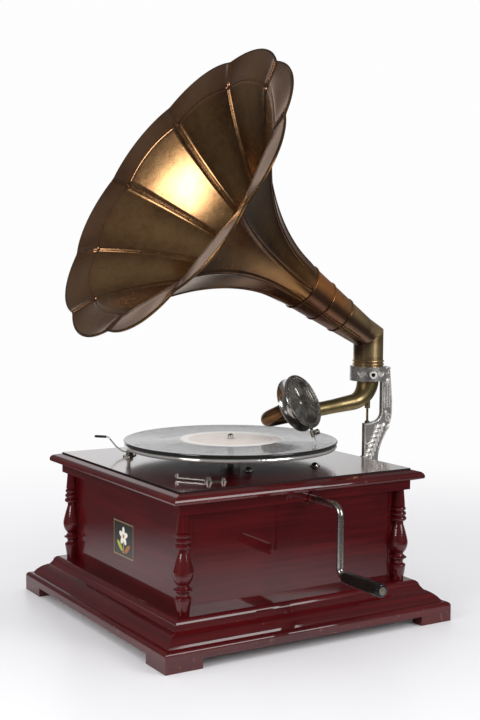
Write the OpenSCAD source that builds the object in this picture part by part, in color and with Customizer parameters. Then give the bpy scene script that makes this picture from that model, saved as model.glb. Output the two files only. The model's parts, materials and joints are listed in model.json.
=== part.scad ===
// Horn gramophone: a square lacquered cabinet with a spring motor,
// turntable, back bracket, tone arm and petal horn.
// Millimetres, +Z up. The horn opens towards -Y and the winding crank is on +X.

/* [Base] */
// Width of the square base across its lip
base_w = 372; // [366:1:390]
// Height of the corner feet
foot_h = 10.5; // [8:0.5:20]
// Length of a foot along each side of its corner
foot_l = 43; // [34:1:60]
// Width of a foot across its leg
foot_w = 16; // [12:1:24]
// Height of the upright lip of the base rail
lip_h = 7; // [5:0.5:12]
// Rounding of the lip's upper edge
lip_round = 4.6; // [3:0.2:6]
// Flat ledge above the lip
ledge_w = 2.6; // [1:0.2:4]
// Width of the swelling part of the base rail
swell_w = 15.2; // [12:0.2:17]
// Height of the swelling part of the base rail
swell_h = 12.4; // [10:0.2:16]
// Width of the hollow step above the swelling
step_w = 3.4; // [2:0.2:4]
// Height of the hollow step above the swelling
step_h = 4.7; // [3:0.1:7]
// Width of the rounded top edge of the base rail
cap_w = 5; // [3:0.2:6]
// Height of the rounded top edge of the base rail
cap_h = 5.8; // [4:0.2:8]
// Thickness of the bottom board
bottom_t = 6; // [4:0.5:9]

/* [Cabinet] */
// Height of the panels from the base to the frieze
panel_h = 105.8; // [100:0.2:125]
// Thickness of the panels
panel_t = 12; // [9:0.5:14]
// Visible height of the frieze under the top moulding
frieze_h = 10.1; // [8:0.1:16]
// Width of the frieze and the motor board
top_w = 302.6; // [290:0.2:320]
// Thickness of the frieze, which stands on the panels' faces
frieze_t = 12.8; // [11:0.2:16]
// Distance of a column's axis inside the frieze's face
column_in = 9.1; // [8.5:0.1:11]
// Overhang of the top moulding
moulding_w = 11.9; // [8:0.1:14]
// Height of the top moulding
moulding_h = 14.5; // [12:0.1:18]
// Thickness of the motor board
board_t = 8; // [6:0.5:10]
// Side of the square corner posts inside the cabinet
post_w = 14.5; // [10:0.5:20]

/* [Columns] */
// Radius of the shaft under the frieze
column_top_r = 5.6; // [5:0.1:6.5]
// Radius of the shaft over the rings
column_shaft_r = 7.3; // [6.6:0.1:8]
// Radius of the lowest of the three rings
column_ring_r = 9.3; // [8.6:0.1:10]
// Greatest radius of the vase
column_vase_r = 11; // [10.4:0.1:11.4]
// Radius of the two waists beside the bead
column_waist_r = 6.1; // [5:0.1:7]
// Radius of the bead between vase and foot
column_bead_r = 9.9; // [8.5:0.1:10.4]
// Radius of the foot's upper end
column_cup_r = 9; // [8:0.1:10]
// Radius of the foot where it stands on the base
column_foot_r = 6.6; // [6:0.1:8]

/* [Turntable] */
// Radius of the record
record_r = 127; // [120:0.5:127.5]
// Thickness of the record
record_t = 2.2; // [1.8:0.1:3]
// Radius of the paper label
label_r = 60; // [45:0.5:62]
// Thickness of the paper label
label_t = 0.2; // [0.1:0.05:0.25]
// Radius of the platter
platter_r = 126.5; // [118:0.5:127]
// Height of the platter's rim
platter_h = 5.4; // [3.5:0.1:8]
// Thickness of the platter's plate
platter_t = 2; // [1.5:0.1:3]
// Thickness of the felt
felt_t = 1.6; // [1:0.1:3]
// Gap between the motor board and the platter
platter_gap = 16.1; // [15:0.1:25]
// Radius of the spindle's upper end
spindle_tip_r = 3.6; // [3.4:0.05:3.8]
// Height of the spindle above the record
spindle_rise = 6.7; // [5:0.1:9]

/* [Crank] */
// Place of the crank along the cabinet's side
crank_y = 15.4; // [5:0.2:25]
// Depth of the crank's axis under the motor board
crank_drop = 14.4; // [14:0.1:16]
// Distance of the crank's arm from the cabinet's middle
crank_x = 201; // [198:0.5:215]
// Length of the crank's arm
crank_arm = 74; // [60:1:95]
// Radius of the crank's rod
crank_rod_r = 3.7; // [3:0.1:3.8]
// Length of the grip
grip_l = 62; // [50:1:90]
// Radius of the grip
grip_r = 7.2; // [6:0.1:10]

/* [Arm] */
// Setback of the tone arm's upright axis behind the top moulding
arm_setback = 40.8; // [36:0.2:50]
// Radius of the arm's upper end
arm_top_r = 14.4; // [13:0.1:15]
// Radius of the arm's slim end
arm_end_r = 8.5; // [7.5:0.1:9.2]
// Distance from the arm's axis to the hook's corner
hook_reach = 165; // [158:0.5:170]
// Height of the hook's corner above the record
hook_rise = 17.3; // [15:0.1:22]
// Bend radius of the hook
hook_bend = 14; // [11:0.5:17]
// Downward slope of the arm in degrees
arm_slope = 6.8; // [4:0.1:9]
// Radius of the sound box
box_r = 33.4; // [29:0.1:36]
// Depth of the sound box
box_d = 15; // [14:0.5:18]
// Distance from the hook's corner to the sound box face
box_reach = 70.3; // [66:0.1:80]
// Turn of the sound box face from +X towards +Y in degrees
box_turn = 24.9; // [18:0.1:30]
// Upward tilt of the sound box face in degrees
box_tilt = 25.4; // [20:0.1:30]

/* [Horn] */
// Radius of the horn's elbow tube
elbow_r = 19; // [17:0.1:21]
// Height of the elbow's corner above the motor board
elbow_rise = 142.5; // [135:0.5:170]
// Upward slope of the horn in degrees
horn_slope = 31.4; // [20:0.1:45]
// Length of the horn's neck from the elbow's corner
neck_l = 122.5; // [90:0.5:140]
// Radius of the neck where the bell starts
neck_r = 29; // [25:0.1:34]
// Length of the bell up to its crease
bell_l = 199; // [150:1:240]
// Radius of the bell at its crease
crease_r = 157; // [130:0.5:175]
// Length of the flared rim beyond the crease
rim_l = 11.5; // [6:0.5:20]
// Radius of the rim at the seams
rim_r = 185; // [165:0.5:205]
// How far a petal's edge stands out beyond the seams
scallop = 9; // [0:0.5:14]
// Share of its radius by which a petal is flatter than round between the seams
petal_flat = 0.042; // [0:0.002:0.05]
// How far the crease runs ahead of the seams in the middle of a petal
crease_lead = 5; // [0:0.5:8]
// Number of petals
petals = 10; // [6:1:12]
// Thickness of the horn's sheet metal
horn_wall = 1.2; // [0.8:0.1:2]

/* [Bracket] */
// Thickness of the bracket's flat casting
stem_w = 4.6; // [4.2:0.1:8]
// Wall of the collar
collar_wall = 4; // [3:0.1:6]
// Height of the collar
collar_h = 18; // [14:0.5:24]
// Height of the collar's lower edge above the motor board
collar_rise = 86.6; // [80:0.2:100]
// Height of the pivot ledge above the motor board
ledge_rise = 31.6; // [26:0.2:40]

/* [Motor] */
// Clear height between the motor's plates
motor_h = 76.4; // [74:0.2:90]
// Thickness of the motor's plates
plate_t = 3; // [2:0.2:4]
// Thickness of the rubber washers that carry the motor
washer_t = 3; // [2:0.2:5]
// Radius of the spring barrel's drum
drum_r = 42; // [36:0.5:44]
// Height of the spring barrel's drum
drum_h = 40; // [30:0.5:41]
// Radius of the motor's spindle
spindle_r = 4; // [3.8:0.1:4.2]

/* [Hidden] */
$fn = 64;
fit = 0.06;
gap = 0.3;
eps = 0.01;

// Heights, from the floor up
base_top = foot_h + lip_h + lip_round + swell_h + step_h + cap_h;
frieze_z = base_top + panel_h;
moulding_z = frieze_z + frieze_h;
board_top = moulding_z + moulding_h;
board_z = board_top - board_t;
platter_z = board_top + platter_gap;
felt_z = platter_z + platter_h;
record_z = felt_z + felt_t;
record_top = record_z + record_t;
spindle_top = record_top + spindle_rise;
crank_z = board_z - crank_drop;
top_plate_z = board_z - washer_t - plate_t;
low_plate_z = top_plate_z - motor_h - plate_t;
motor_floor = low_plate_z + plate_t;

// Plan places, from the cabinet's middle
base_at = base_w / 2;
top_at = top_w / 2;
panel_at = top_at - frieze_t;
column_at = top_at - column_in;
moulding_at = top_at + moulding_w;
wall_in = panel_at - panel_t;
rail_in = wall_in - post_w - 7;
arm_y = moulding_at + arm_setback;

// Corner places as signs of x and y
corners = [[1, 1], [-1, 1], [-1, -1], [1, -1]];

// Points of an arc from p to q that swells by rise to its right
function arc_between(p, q, rise, steps = 8) =
    let(
        mid = (p + q) / 2,
        along = (q - p) / norm(q - p),
        right = [along.y, -along.x],
        half = norm(q - p) / 2,
        r = (half * half + rise * rise) / (2 * rise),
        spread = asin(half / r)
    )
    [for (i = [0:steps]) let(a = spread * (2 * i / steps - 1))
        mid + along * r * sin(a) + right * (r * cos(a) - r + rise)];

function unit(v) = v / norm(v);
function polar(r, a) = [r * cos(a), r * sin(a)];
function angle_to(p, q) = atan2(q.y - p.y, q.x - p.x);

// The point at distance ra from a and rb from b, left of the line from a to b
function meet(a, b, ra, rb) =
    let(d = norm(b - a), x = (ra * ra - rb * rb + d * d) / (2 * d), y = sqrt(ra * ra - x * x),
        u = (b - a) / d)
    a + u * x + [-u.y, u.x] * y;

// One mitred side of a square frame, from a profile of [distance from the middle, height]
module mitred_side(profile, reach) {
    intersection() {
        rotate([90, 0, 0]) linear_extrude(height = 2 * reach, center = true) polygon(profile);
        translate([0, 0, -reach]) linear_extrude(height = 4 * reach)
            polygon([[0, 0], [reach, reach], [reach, -reach]]);
    }
}

module frame_sides(profile, reach) {
    for (quarter = [0:3]) rotate(quarter * 90) mitred_side(profile, reach);
}

// Rounded block with upright edges, centred in x and y
module rounded_plate(w, d, h, r) {
    linear_extrude(height = h) {
        square([w - 2 * r, d], center = true);
        square([w, d - 2 * r], center = true);
        for (c = corners) translate([c.x * (w / 2 - r), c.y * (d / 2 - r)]) circle(r = r);
    }
}

// Everything is moved so that the origin lies under the middle of the object's box
module placed() {
    translate([-centre_x, -centre_y, 0]) children();
}

module lacquer() { color([0.27, 0.04, 0.05]) placed() children(); }
module raw_wood() { color([0.62, 0.45, 0.28]) placed() children(); }
module steel() { color([0.62, 0.62, 0.64]) placed() children(); }
module nickel() { color([0.78, 0.78, 0.78]) placed() children(); }
module brass() { color([0.72, 0.58, 0.28]) placed() children(); }
module bronze() { color([0.42, 0.29, 0.14]) placed() children(); }
module black() { color([0.05, 0.05, 0.05]) placed() children(); }

// Base
swell_sag = 1.8;
cap_sag = 1.2;
cap_at = base_at - lip_round - ledge_w - swell_w - step_w - cap_w;
base_profile = concat(
    [[rail_in, foot_h], [base_at, foot_h]],
    arc_between([base_at, foot_h + lip_h], [base_at - lip_round, foot_h + lip_h + lip_round],
        lip_round * (1 - sqrt(0.5))),
    arc_between(
        [base_at - lip_round - ledge_w, foot_h + lip_h + lip_round],
        [base_at - lip_round - ledge_w - swell_w, foot_h + lip_h + lip_round + swell_h],
        swell_sag
    ),
    [[base_at - lip_round - ledge_w - swell_w - step_w, base_top - cap_h]],
    arc_between([cap_at + cap_w, base_top - cap_h + eps], [cap_at, base_top], cap_sag),
    [[rail_in, base_top]]
);

module base_rails() {
    lacquer() frame_sides(base_profile, base_w);
}

bottom_z = foot_h + 3.5;
module bottom_board() {
    raw_wood() translate([-rail_in, -rail_in, bottom_z]) cube([2 * rail_in, 2 * rail_in, bottom_t]);
}

module corner_foot() {
    translate([base_at - foot_l, base_at - foot_w, 0]) cube([foot_l, foot_w, foot_h]);
    translate([base_at - foot_w, base_at - foot_l, 0]) cube([foot_w, foot_l, foot_h]);
}

module corner_feet() {
    lacquer() for (c = corners) rotate(angle_to([0, 0], c) - 45) corner_foot();
}

// Panels stand on the base and carry the motor board
panel_top = board_z - base_top;
module long_panel() {
    difference() {
        translate([-panel_at, -panel_at, base_top]) cube([2 * panel_at, panel_t, panel_top]);
        for (side = [-1, 1]) translate([side * column_at, -column_at, base_top - 1])
            cylinder(r = column_vase_r + gap, h = panel_top + 2);
    }
}

module short_panel() {
    translate([wall_in, -wall_in, base_top]) cube([panel_t, 2 * wall_in, panel_top]);
}

crank_hole_r = crank_rod_r + 4;
module along_crank(x0, x1, r) {
    translate([x0, crank_y, crank_z]) rotate([0, 90, 0]) cylinder(r = r, h = x1 - x0);
}

module panel_front() { lacquer() long_panel(); }
module panel_left() { lacquer() mirror([1, 0, 0]) short_panel(); }

module panel_right() {
    lacquer() difference() {
        short_panel();
        along_crank(wall_in - 1, panel_at + 1, crank_hole_r);
    }
}

module panel_rear() {
    lacquer() difference() {
        rotate(180) long_panel();
        bracket_screw_places() translate([0, 0, -foot_plate_t - screw_l])
            cylinder(r = screw_r + fit, h = screw_l + 1);
    }
}

module corner_posts() {
    raw_wood() for (c = corners)
        translate([c.x * (wall_in - post_w / 2), c.y * (wall_in - post_w / 2), base_top])
        linear_extrude(height = panel_top) square(post_w, center = true);
}

// Turned column: tapered foot, waist, bead, waist, vase, neck, three rings and a tapered shaft
column_foot_h = 18.4;
column_waist_h = 4.2;
column_bead_h = 6.6;
column_vase_low = 11;
column_vase_high = 22.5;
column_neck_h = 4.2;
column_rings_h = 17.4;
column_neck_r = column_waist_r - 0.4;
z_waist = column_foot_h;
z_bead = z_waist + column_waist_h;
z_tip = z_bead + column_bead_h / 2;
z_vase = z_bead + column_bead_h + 2;
z_widest = z_vase + column_vase_low;
z_neck = z_widest + column_vase_high;
z_rings = z_neck + column_neck_h;
z_shaft = z_rings + column_rings_h;
ring_pitch = column_rings_h / 3;
ring_step = 0.5;
ring_root = column_ring_r - 2;
column_profile = concat(
    [[0, 0], [column_foot_r, 0], [column_cup_r - 0.4, column_foot_h - 5]],
    arc_between([column_cup_r - 0.2, column_foot_h - 3.4], [column_waist_r + 1.4, column_foot_h], 0.8),
    [[column_waist_r, z_waist + 1], [column_waist_r, z_bead - 0.2]],
    arc_between([column_waist_r + 0.6, z_bead], [column_bead_r, z_tip - 0.5], -0.5, 4),
    arc_between([column_bead_r, z_tip + 0.5], [column_waist_r + 0.6, z_bead + column_bead_h], -0.5, 4),
    [[column_waist_r, z_vase - 1.4]],
    arc_between([column_waist_r + 0.4, z_vase], [column_vase_r, z_widest], 1.1),
    arc_between([column_vase_r, z_widest + 2.5], [column_neck_r, z_neck], 0.3),
    [[column_neck_r, z_rings - 0.5]],
    [for (i = [0:2]) each arc_between(
        [ring_root - ring_step * i, z_rings + ring_pitch * i],
        [ring_root - ring_step * i, z_rings + ring_pitch * (i + 1) - 0.8], 1.9)],
    [[column_shaft_r, z_shaft], [column_top_r, panel_h], [0, panel_h]]
);

module corner_columns() {
    lacquer() for (c = corners) translate([c.x * column_at, c.y * column_at, base_top])
        rotate_extrude() polygon(column_profile);
}

module frieze_rails() {
    lacquer() difference() {
        frame_sides([[panel_at, frieze_z], [top_at, frieze_z], [top_at, board_z], [panel_at, board_z]],
            top_w);
        along_crank(panel_at - 1, top_at + 1, crank_hole_r);
        translate([panel_at - 1, crank_y - crank_hole_r, frieze_z - 1])
            cube([top_at - panel_at + 2, 2 * crank_hole_r, crank_z - frieze_z + 1]);
    }
}

board_edge = 1.6;
moulding_under = moulding_z + moulding_h * 0.23;
moulding_nose = moulding_z + moulding_h * 0.36;
moulding_shoulder = moulding_z + moulding_h * 0.77;
moulding_round = 1.4;
moulding_profile = concat(
    [[top_at, moulding_z], [moulding_at - 0.6, moulding_under]],
    arc_between([moulding_at, moulding_nose], [top_at + moulding_w * 0.6, moulding_shoulder], moulding_round),
    [[top_at, board_top - board_edge]]
);

module top_moulding() {
    lacquer() frame_sides(moulding_profile, 2 * moulding_at);
}

// Motor board with the holes for spindle, motor bolts and speed shaft
bolt_places = [[72, -20], [84, 64], [-42, -30]];
bolt_r = 2.5;
// Speed lever's pivot, in from the board's right and front edges
speed_in = [35.3, 54.3];
speed_at = [top_at - speed_in.x, speed_in.y - top_at];
speed_shaft_r = 2.2;
spindle_hole_r = spindle_r + 5;
module motor_board() {
    lacquer() difference() {
        translate([-top_at, -top_at, board_z]) cube([top_w, top_w, board_t]);
        translate([0, 0, board_z - 1]) cylinder(r = spindle_hole_r, h = board_t + 2);
        for (p = bolt_places) translate([p.x, p.y, board_z - 1])
            cylinder(r = bolt_r + fit, h = board_t + 2);
        translate([speed_at.x, speed_at.y, board_z - 1])
            cylinder(r = speed_shaft_r + fit, h = board_t + 2);
    }
}

// Dark bush in the frieze that carries the crank
module crank_bush() {
    black() difference() {
        union() {
            along_crank(wall_in, top_at + 1.5, crank_hole_r - fit);
            along_crank(top_at, top_at + 1.5, crank_hole_r + 0.6);
        }
        along_crank(wall_in - 1, top_at + 3, crank_rod_r + fit);
    }
}

// Gear wheels: involute flanks, thinned by lash
gear_lash = 0.3;
function involute(base, r) = let(a = acos(min(1, base / r))) tan(a) * 180 / PI - a;
function gear_tip(teeth, mod) = teeth * mod / 2 + 0.85 * mod;
function gear_outline(teeth, mod, turn) =
    let(
        pitch = teeth * mod / 2,
        base = pitch * cos(20),
        root = pitch - 1.25 * mod,
        tip = gear_tip(teeth, mod),
        at_pitch = 90 / teeth - gear_lash / (2 * pitch) * 180 / PI + involute(base, pitch),
        radii = base > root + 0.1 ? [root, base, pitch, tip] : [root, pitch, tip],
        halves = [for (r = radii) (at_pitch - involute(base, r)) * (r < base - 0.05 ? 0.75 : 1)],
        last = len(radii) - 1
    )
    [for (i = [0:teeth - 1]) each concat(
        [for (k = [0:last]) polar(radii[k], turn + i * 360 / teeth - halves[k])],
        [for (k = [last:-1:0]) polar(radii[k], turn + i * 360 / teeth + halves[k])]
    )];

module gear(teeth, mod, h, turn) {
    linear_extrude(height = h) polygon(gear_outline(teeth, mod, turn));
}

// Wheel train: barrel, intermediate, spindle, governor
barrel_teeth = 72;
barrel_mod = 1.25;
pinion_teeth = 12;
wheel_teeth = 60;
wheel_mod = 1;
drive_teeth = 75;
governor_teeth = 15;
governor_mod = 0.8;
crown_teeth = 40;
crank_teeth = 10;
crown_mod = 1;

spindle_at = [0, 0];
barrel_at = [62, crank_y];
intermediate_at = meet(
    spindle_at, barrel_at,
    (wheel_teeth + pinion_teeth) * wheel_mod / 2,
    (barrel_teeth + pinion_teeth) * barrel_mod / 2
);
governor_at = polar((drive_teeth + governor_teeth) * governor_mod / 2, -75);
regulator_at = [62, -52];

spindle_pinion_z = motor_floor + 3.5;
spindle_pinion_h = 6.5;
wheel_z = motor_floor + 5;
wheel_h = 3.5;
barrel_z = motor_floor + 13;
barrel_gear_h = 5;
low_pinion_z = motor_floor + 12;
low_pinion_h = 7.5;
drive_h = 3;
drive_z = crank_z - drive_h;
crown_pitch_r = crown_teeth * crown_mod / 2;
crank_pitch_r = crank_teeth * crown_mod / 2;
crown_pitch_z = crank_z - crank_pitch_r;
crown_disc_h = 4.5;
crown_disc_z = crown_pitch_z - 1.3 * crown_mod - crown_disc_h;
arbor_r = 6;
pivot_r = 4;

// Motor plates
// Room from the plates' right edge to the inside of the panel
plate_room = 11.5;
plate_low = [-55, -61];
plate_high = [wall_in - plate_room, 71];
plate_mid = (plate_low + plate_high) / 2;
plate_size = plate_high - plate_low;
pillar_r = 4;
pillar_inset = 7;
pillar_places = [for (c = corners) plate_mid + [c.x * (plate_size.x / 2 - pillar_inset),
    c.y * (plate_size.y / 2 - pillar_inset)]];
lug_x = 92;
lug_t = 6;
lug_w = 18;
lug_foot = crank_rod_r + 4;
stud_r = 2.5;
lever_z = crown_disc_z - 1;
lever_t = 2;

module motor_plate(z) {
    translate([plate_mid.x, plate_mid.y, z])
        rounded_plate(plate_size.x, plate_size.y, plate_t, pillar_inset);
}

module plate_bore(p, r) {
    translate([p.x, p.y, 0]) cylinder(r = r + fit, h = board_top);
}

governor_r = 2;
intermediate_r = 3;
module motor_top_plate() {
    steel() {
        difference() {
            union() {
                motor_plate(top_plate_z);
                translate([lug_x, crank_y - lug_w / 2, crank_z - lug_foot])
                    cube([lug_t, lug_w, top_plate_z - crank_z + lug_foot + 1]);
            }
            plate_bore(spindle_at, spindle_r);
            plate_bore(barrel_at, pivot_r);
            plate_bore(governor_at, governor_r);
            plate_bore(intermediate_at, intermediate_r);
            for (p = bolt_places) plate_bore(p, bolt_r);
            along_crank(lug_x - 1, lug_x + lug_t + 1, crank_rod_r + fit);
        }
        translate([regulator_at.x, regulator_at.y, lever_z - 2.5])
            cylinder(r = stud_r, h = top_plate_z - lever_z + 2.5);
        translate([regulator_at.x, regulator_at.y, lever_z - 2.5])
            cylinder(r = stud_r + 2, h = 2.5 - fit);
    }
}

footstep = plate_t - 1;
module motor_bottom_plate() {
    steel() difference() {
        motor_plate(low_plate_z);
        for (a = [[spindle_at, spindle_r], [barrel_at, pivot_r], [governor_at, governor_r],
            [intermediate_at, intermediate_r]])
            translate([a[0].x, a[0].y, motor_floor - footstep]) cylinder(r = a[1] + fit, h = plate_t);
    }
}

module motor_pillars() {
    steel() for (p = pillar_places) translate([p.x, p.y, motor_floor])
        cylinder(r = pillar_r, h = motor_h);
}

bolt_head_r = 4.2;
bolt_nut_h = 4;
module motor_bolts() {
    nickel() for (p = bolt_places) translate([p.x, p.y, 0]) {
        translate([0, 0, top_plate_z - bolt_nut_h - 1.5])
            cylinder(r = bolt_r, h = board_top - top_plate_z + bolt_nut_h + 2);
        translate([0, 0, top_plate_z - bolt_nut_h]) cylinder(r = bolt_r * 1.8, h = bolt_nut_h, $fn = 6);
        translate([0, 0, board_top]) cylinder(r = bolt_head_r + 2, h = 0.7);
        translate([0, 0, board_top + 0.5]) intersection() {
            translate([0, 0, -1]) sphere(r = bolt_head_r + 0.4);
            cylinder(r = bolt_head_r + 1, h = bolt_head_r);
        }
    }
}

module motor_washers() {
    black() for (p = bolt_places) translate([p.x, p.y, board_z - washer_t]) difference() {
        cylinder(r = bolt_r + 4.5, h = washer_t);
        translate([0, 0, -1]) cylinder(r = bolt_r + fit, h = washer_t + 2);
    }
}

// Turntable body
shoulder_h = 2;
hub_z = platter_z - 8.4;
module spindle() {
    steel() {
        translate([0, 0, motor_floor - footstep + fit])
            cylinder(r = spindle_r, h = felt_z - motor_floor + footstep - fit);
        translate([0, 0, hub_z - shoulder_h]) cylinder(r = spindle_r + 2.5, h = shoulder_h);
        translate([0, 0, felt_z - 1])
            cylinder(r = spindle_tip_r, h = spindle_top - spindle_tip_r - felt_z + 1);
        translate([0, 0, spindle_top - spindle_tip_r]) sphere(r = spindle_tip_r);
        translate([0, 0, spindle_pinion_z])
            gear(pinion_teeth, wheel_mod, spindle_pinion_h, angle_to(spindle_at, intermediate_at));
    }
}

module governor_drive_wheel() {
    brass() translate([0, 0, drive_z]) difference() {
        union() {
            gear(drive_teeth, governor_mod, drive_h, angle_to(spindle_at, governor_at));
            translate([0, 0, -5]) cylinder(r = spindle_r + 4, h = 6);
        }
        translate([0, 0, -6]) cylinder(r = spindle_r + fit / 2, h = drive_h + 8);
    }
}

// Pressed platter: plate, rolled rim and a hub on the spindle's shoulder
rim_roll = platter_h / 2;
module platter() {
    nickel() difference() {
        union() {
            translate([0, 0, felt_z - platter_t])
                cylinder(r = platter_r - rim_roll, h = platter_t, $fn = 128);
            translate([0, 0, platter_z]) rotate_extrude($fn = 128)
                translate([platter_r - rim_roll, rim_roll]) circle(r = rim_roll);
            translate([0, 0, hub_z]) cylinder(r = 12, h = felt_z - platter_t - hub_z + 0.5);
            translate([0, 0, felt_z - platter_t - 3]) cylinder(r = 26, h = 3.5);
        }
        translate([0, 0, hub_z - 1]) cylinder(r = spindle_r + fit / 2, h = felt_z - hub_z + 2);
    }
}

module flat_ring(r, hole, z, h) {
    translate([0, 0, z]) difference() {
        cylinder(r = r, h = h, $fn = 128);
        translate([0, 0, -1]) cylinder(r = hole, h = h + 2);
    }
}

module platter_felt() { black() flat_ring(platter_r - rim_roll, spindle_r + 1, felt_z, felt_t); }
module record() { black() flat_ring(record_r, spindle_tip_r + fit, record_z, record_t); }
module record_label() { color([0.85, 0.76, 0.74]) placed()
    flat_ring(label_r, spindle_tip_r + fit, record_top, label_t); }

// Wheel train
module intermediate_wheel() {
    steel() translate([intermediate_at.x, intermediate_at.y, 0]) {
        translate([0, 0, motor_floor - footstep + fit])
            cylinder(r = intermediate_r, h = top_plate_z + plate_t - motor_floor + footstep - fit);
        translate([0, 0, wheel_z])
            gear(wheel_teeth, wheel_mod, wheel_h, angle_to(intermediate_at,
                spindle_at) + 180 / wheel_teeth);
        translate([0, 0, low_pinion_z])
            gear(pinion_teeth, barrel_mod, low_pinion_h, angle_to(intermediate_at, barrel_at));
        translate([0, 0, wheel_z + wheel_h - eps])
            cylinder(r = 5, h = low_pinion_z - wheel_z - wheel_h + 2 * eps);
    }
}

drum_wall = 2;
cover_t = 1.5;
module spring_barrel() {
    brass() translate([barrel_at.x, barrel_at.y, barrel_z]) difference() {
        union() {
            gear(barrel_teeth, barrel_mod, barrel_gear_h, angle_to(barrel_at,
                intermediate_at) + 180 / barrel_teeth);
            cylinder(r = drum_r, h = drum_h);
        }
        translate([0, 0, drum_floor]) cylinder(r = drum_r - drum_wall, h = drum_h);
        translate([0, 0, -1]) cylinder(r = arbor_r + fit, h = drum_h);
    }
}
drum_floor = 3;

module barrel_cover() {
    brass() translate([barrel_at.x, barrel_at.y, barrel_z + drum_h]) difference() {
        cylinder(r = drum_r, h = cover_t);
        translate([0, 0, -1]) cylinder(r = arbor_r + fit, h = cover_t + 2);
    }
}

// Mainspring: a flat spiral strip from the arbor out to the drum
spring_t = 0.8;
spring_turns = 7;
spring_in = arbor_r + 1;
spring_out = drum_r - drum_wall - gap - spring_t;
spring_steps = 20 * spring_turns;
function spring_point(i, side) =
    polar(spring_in + (spring_out - spring_in) * i / spring_steps + side * spring_t,
        360 * spring_turns * i / spring_steps);

module mainspring() {
    steel() translate([barrel_at.x, barrel_at.y, barrel_z + drum_floor])
        linear_extrude(height = drum_h - drum_floor - 1)
        polygon(concat(
            [for (i = [0:spring_steps]) spring_point(i, 0)],
            [for (i = [spring_steps:-1:0]) spring_point(i, 1)]
        ));
}

module barrel_arbor() {
    steel() translate([barrel_at.x, barrel_at.y, 0]) {
        translate([0, 0, motor_floor - footstep + fit])
            cylinder(r = pivot_r, h = top_plate_z + plate_t - motor_floor + footstep - fit);
        translate([0, 0, barrel_z - 2])
            cylinder(r = arbor_r, h = crown_disc_z + crown_disc_h - barrel_z + 2);
        translate([0, 0, barrel_z - 2]) cylinder(r = arbor_r + 2.5, h = 2 - fit);
    }
}

// Crown wheel: upright teeth on a disc, driven by the pinion on the crank
crown_tooth = 1;
crown_face = 3;
module crown_wheel() {
    brass() translate([barrel_at.x, barrel_at.y, crown_disc_z]) {
        difference() {
            cylinder(r = crown_pitch_r + 1.8, h = crown_disc_h);
            translate([0, 0, -1]) cylinder(r = arbor_r + fit / 2, h = crown_disc_h + 2);
        }
        for (i = [0:crown_teeth - 1]) rotate((i + 0.5) * 360 / crown_teeth)
            translate([crown_pitch_r - crown_face / 2, 0, crown_disc_h - eps]) rotate([90, 0, 90])
                linear_extrude(height = crown_face) polygon([
                    [-crown_tooth * 0.6, 0], [crown_tooth * 0.6, 0],
                    [crown_tooth * 0.35, 2.1 * crown_mod], [-crown_tooth * 0.35, 2.1 * crown_mod]
                ]);
    }
}

// Crank: shaft, bend, arm, bend and the pin of the grip
crank_bend = 12;
grip_bend = 8;
crank_arm_to_grip = grip_bend + 1.5;
grip_pin_r = 2.9;
grip_head_t = 2;
crank_end_x = barrel_at.x + crown_pitch_r - crown_face / 2 - 1.5;
crank_pinion_l = crown_face + 3;
module quarter_bend(bend, r) {
    rotate([90, 0, 0]) rotate_extrude(angle = 90) translate([bend, 0]) circle(r = r);
}

module crank_rod() {
    nickel() translate([0, crank_y, crank_z]) {
        translate([crank_end_x, 0, 0]) rotate([0, 90, 0])
            cylinder(r = crank_rod_r, h = crank_x - crank_bend - crank_end_x);
        translate([crank_x - crank_bend, 0, -crank_bend]) quarter_bend(crank_bend, crank_rod_r);
        translate([crank_x, 0, grip_bend - crank_arm])
            cylinder(r = crank_rod_r, h = crank_arm - grip_bend - crank_bend);
        translate([crank_x + grip_bend, 0, grip_bend - crank_arm]) rotate([0, 180, 0])
            quarter_bend(grip_bend, crank_rod_r);
        translate([crank_x + grip_bend, 0, -crank_arm]) rotate([0, 90, 0])
            cylinder(r = crank_rod_r, h = 1.5 - gap);
        translate([crank_x + grip_bend, 0, -crank_arm]) rotate([0, 90, 0])
            cylinder(r = grip_pin_r, h = 1.5 + grip_l + gap + eps);
        translate([crank_x + crank_arm_to_grip + grip_l + gap, 0, -crank_arm]) rotate([0, 90, 0])
            cylinder(r = grip_pin_r + 1.4, h = grip_head_t - gap);
        translate([crank_end_x, 0, 0]) rotate([0, 90, 0])
            gear(crank_teeth, crown_mod, crank_pinion_l, 0);
    }
}

module crank_grip() {
    black() translate([crank_x + crank_arm_to_grip, crank_y, crank_z - crank_arm])
        rotate([0, 90, 0]) difference() {
        rotate_extrude() polygon(concat(
            [[0, 0], [grip_r - 2, 0], [grip_r - 0.8, 1.2]],
            arc_between([grip_r - 0.5, 3], [grip_r, grip_l - 2], 0.25),
            [[grip_r - 1.6, grip_l], [0, grip_l]]
        ));
        translate([0, 0, -1]) cylinder(r = grip_pin_r + fit, h = grip_l + 2);
    }
}

// Governor: shaft with pinion, collars and friction disc, leaf springs and weights
disc_r = 14;
collar_r = 7.5;
leaf_t = 0.5;
leaf_w = 5;
leaf_z = motor_floor + 26;
leaf_h = lever_z - leaf_z - 3;
weight_r = 6.5;
governor_pinion_h = drive_h + 3;
module governor_shaft() {
    steel() translate([governor_at.x, governor_at.y, 0]) {
        translate([0, 0, motor_floor - footstep + fit])
            cylinder(r = governor_r, h = top_plate_z + plate_t - motor_floor + footstep - fit);
        translate([0, 0, drive_z - 1.5])
            gear(governor_teeth, governor_mod, governor_pinion_h, angle_to(governor_at,
                spindle_at) + 180 / governor_teeth);
        translate([0, 0, lever_z]) cylinder(r = disc_r, h = lever_t);
        translate([0, 0, leaf_z]) cylinder(r = collar_r, h = 3);
        translate([0, 0, leaf_z + leaf_h - 3]) cylinder(r = collar_r, h = 3);
    }
}

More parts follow.
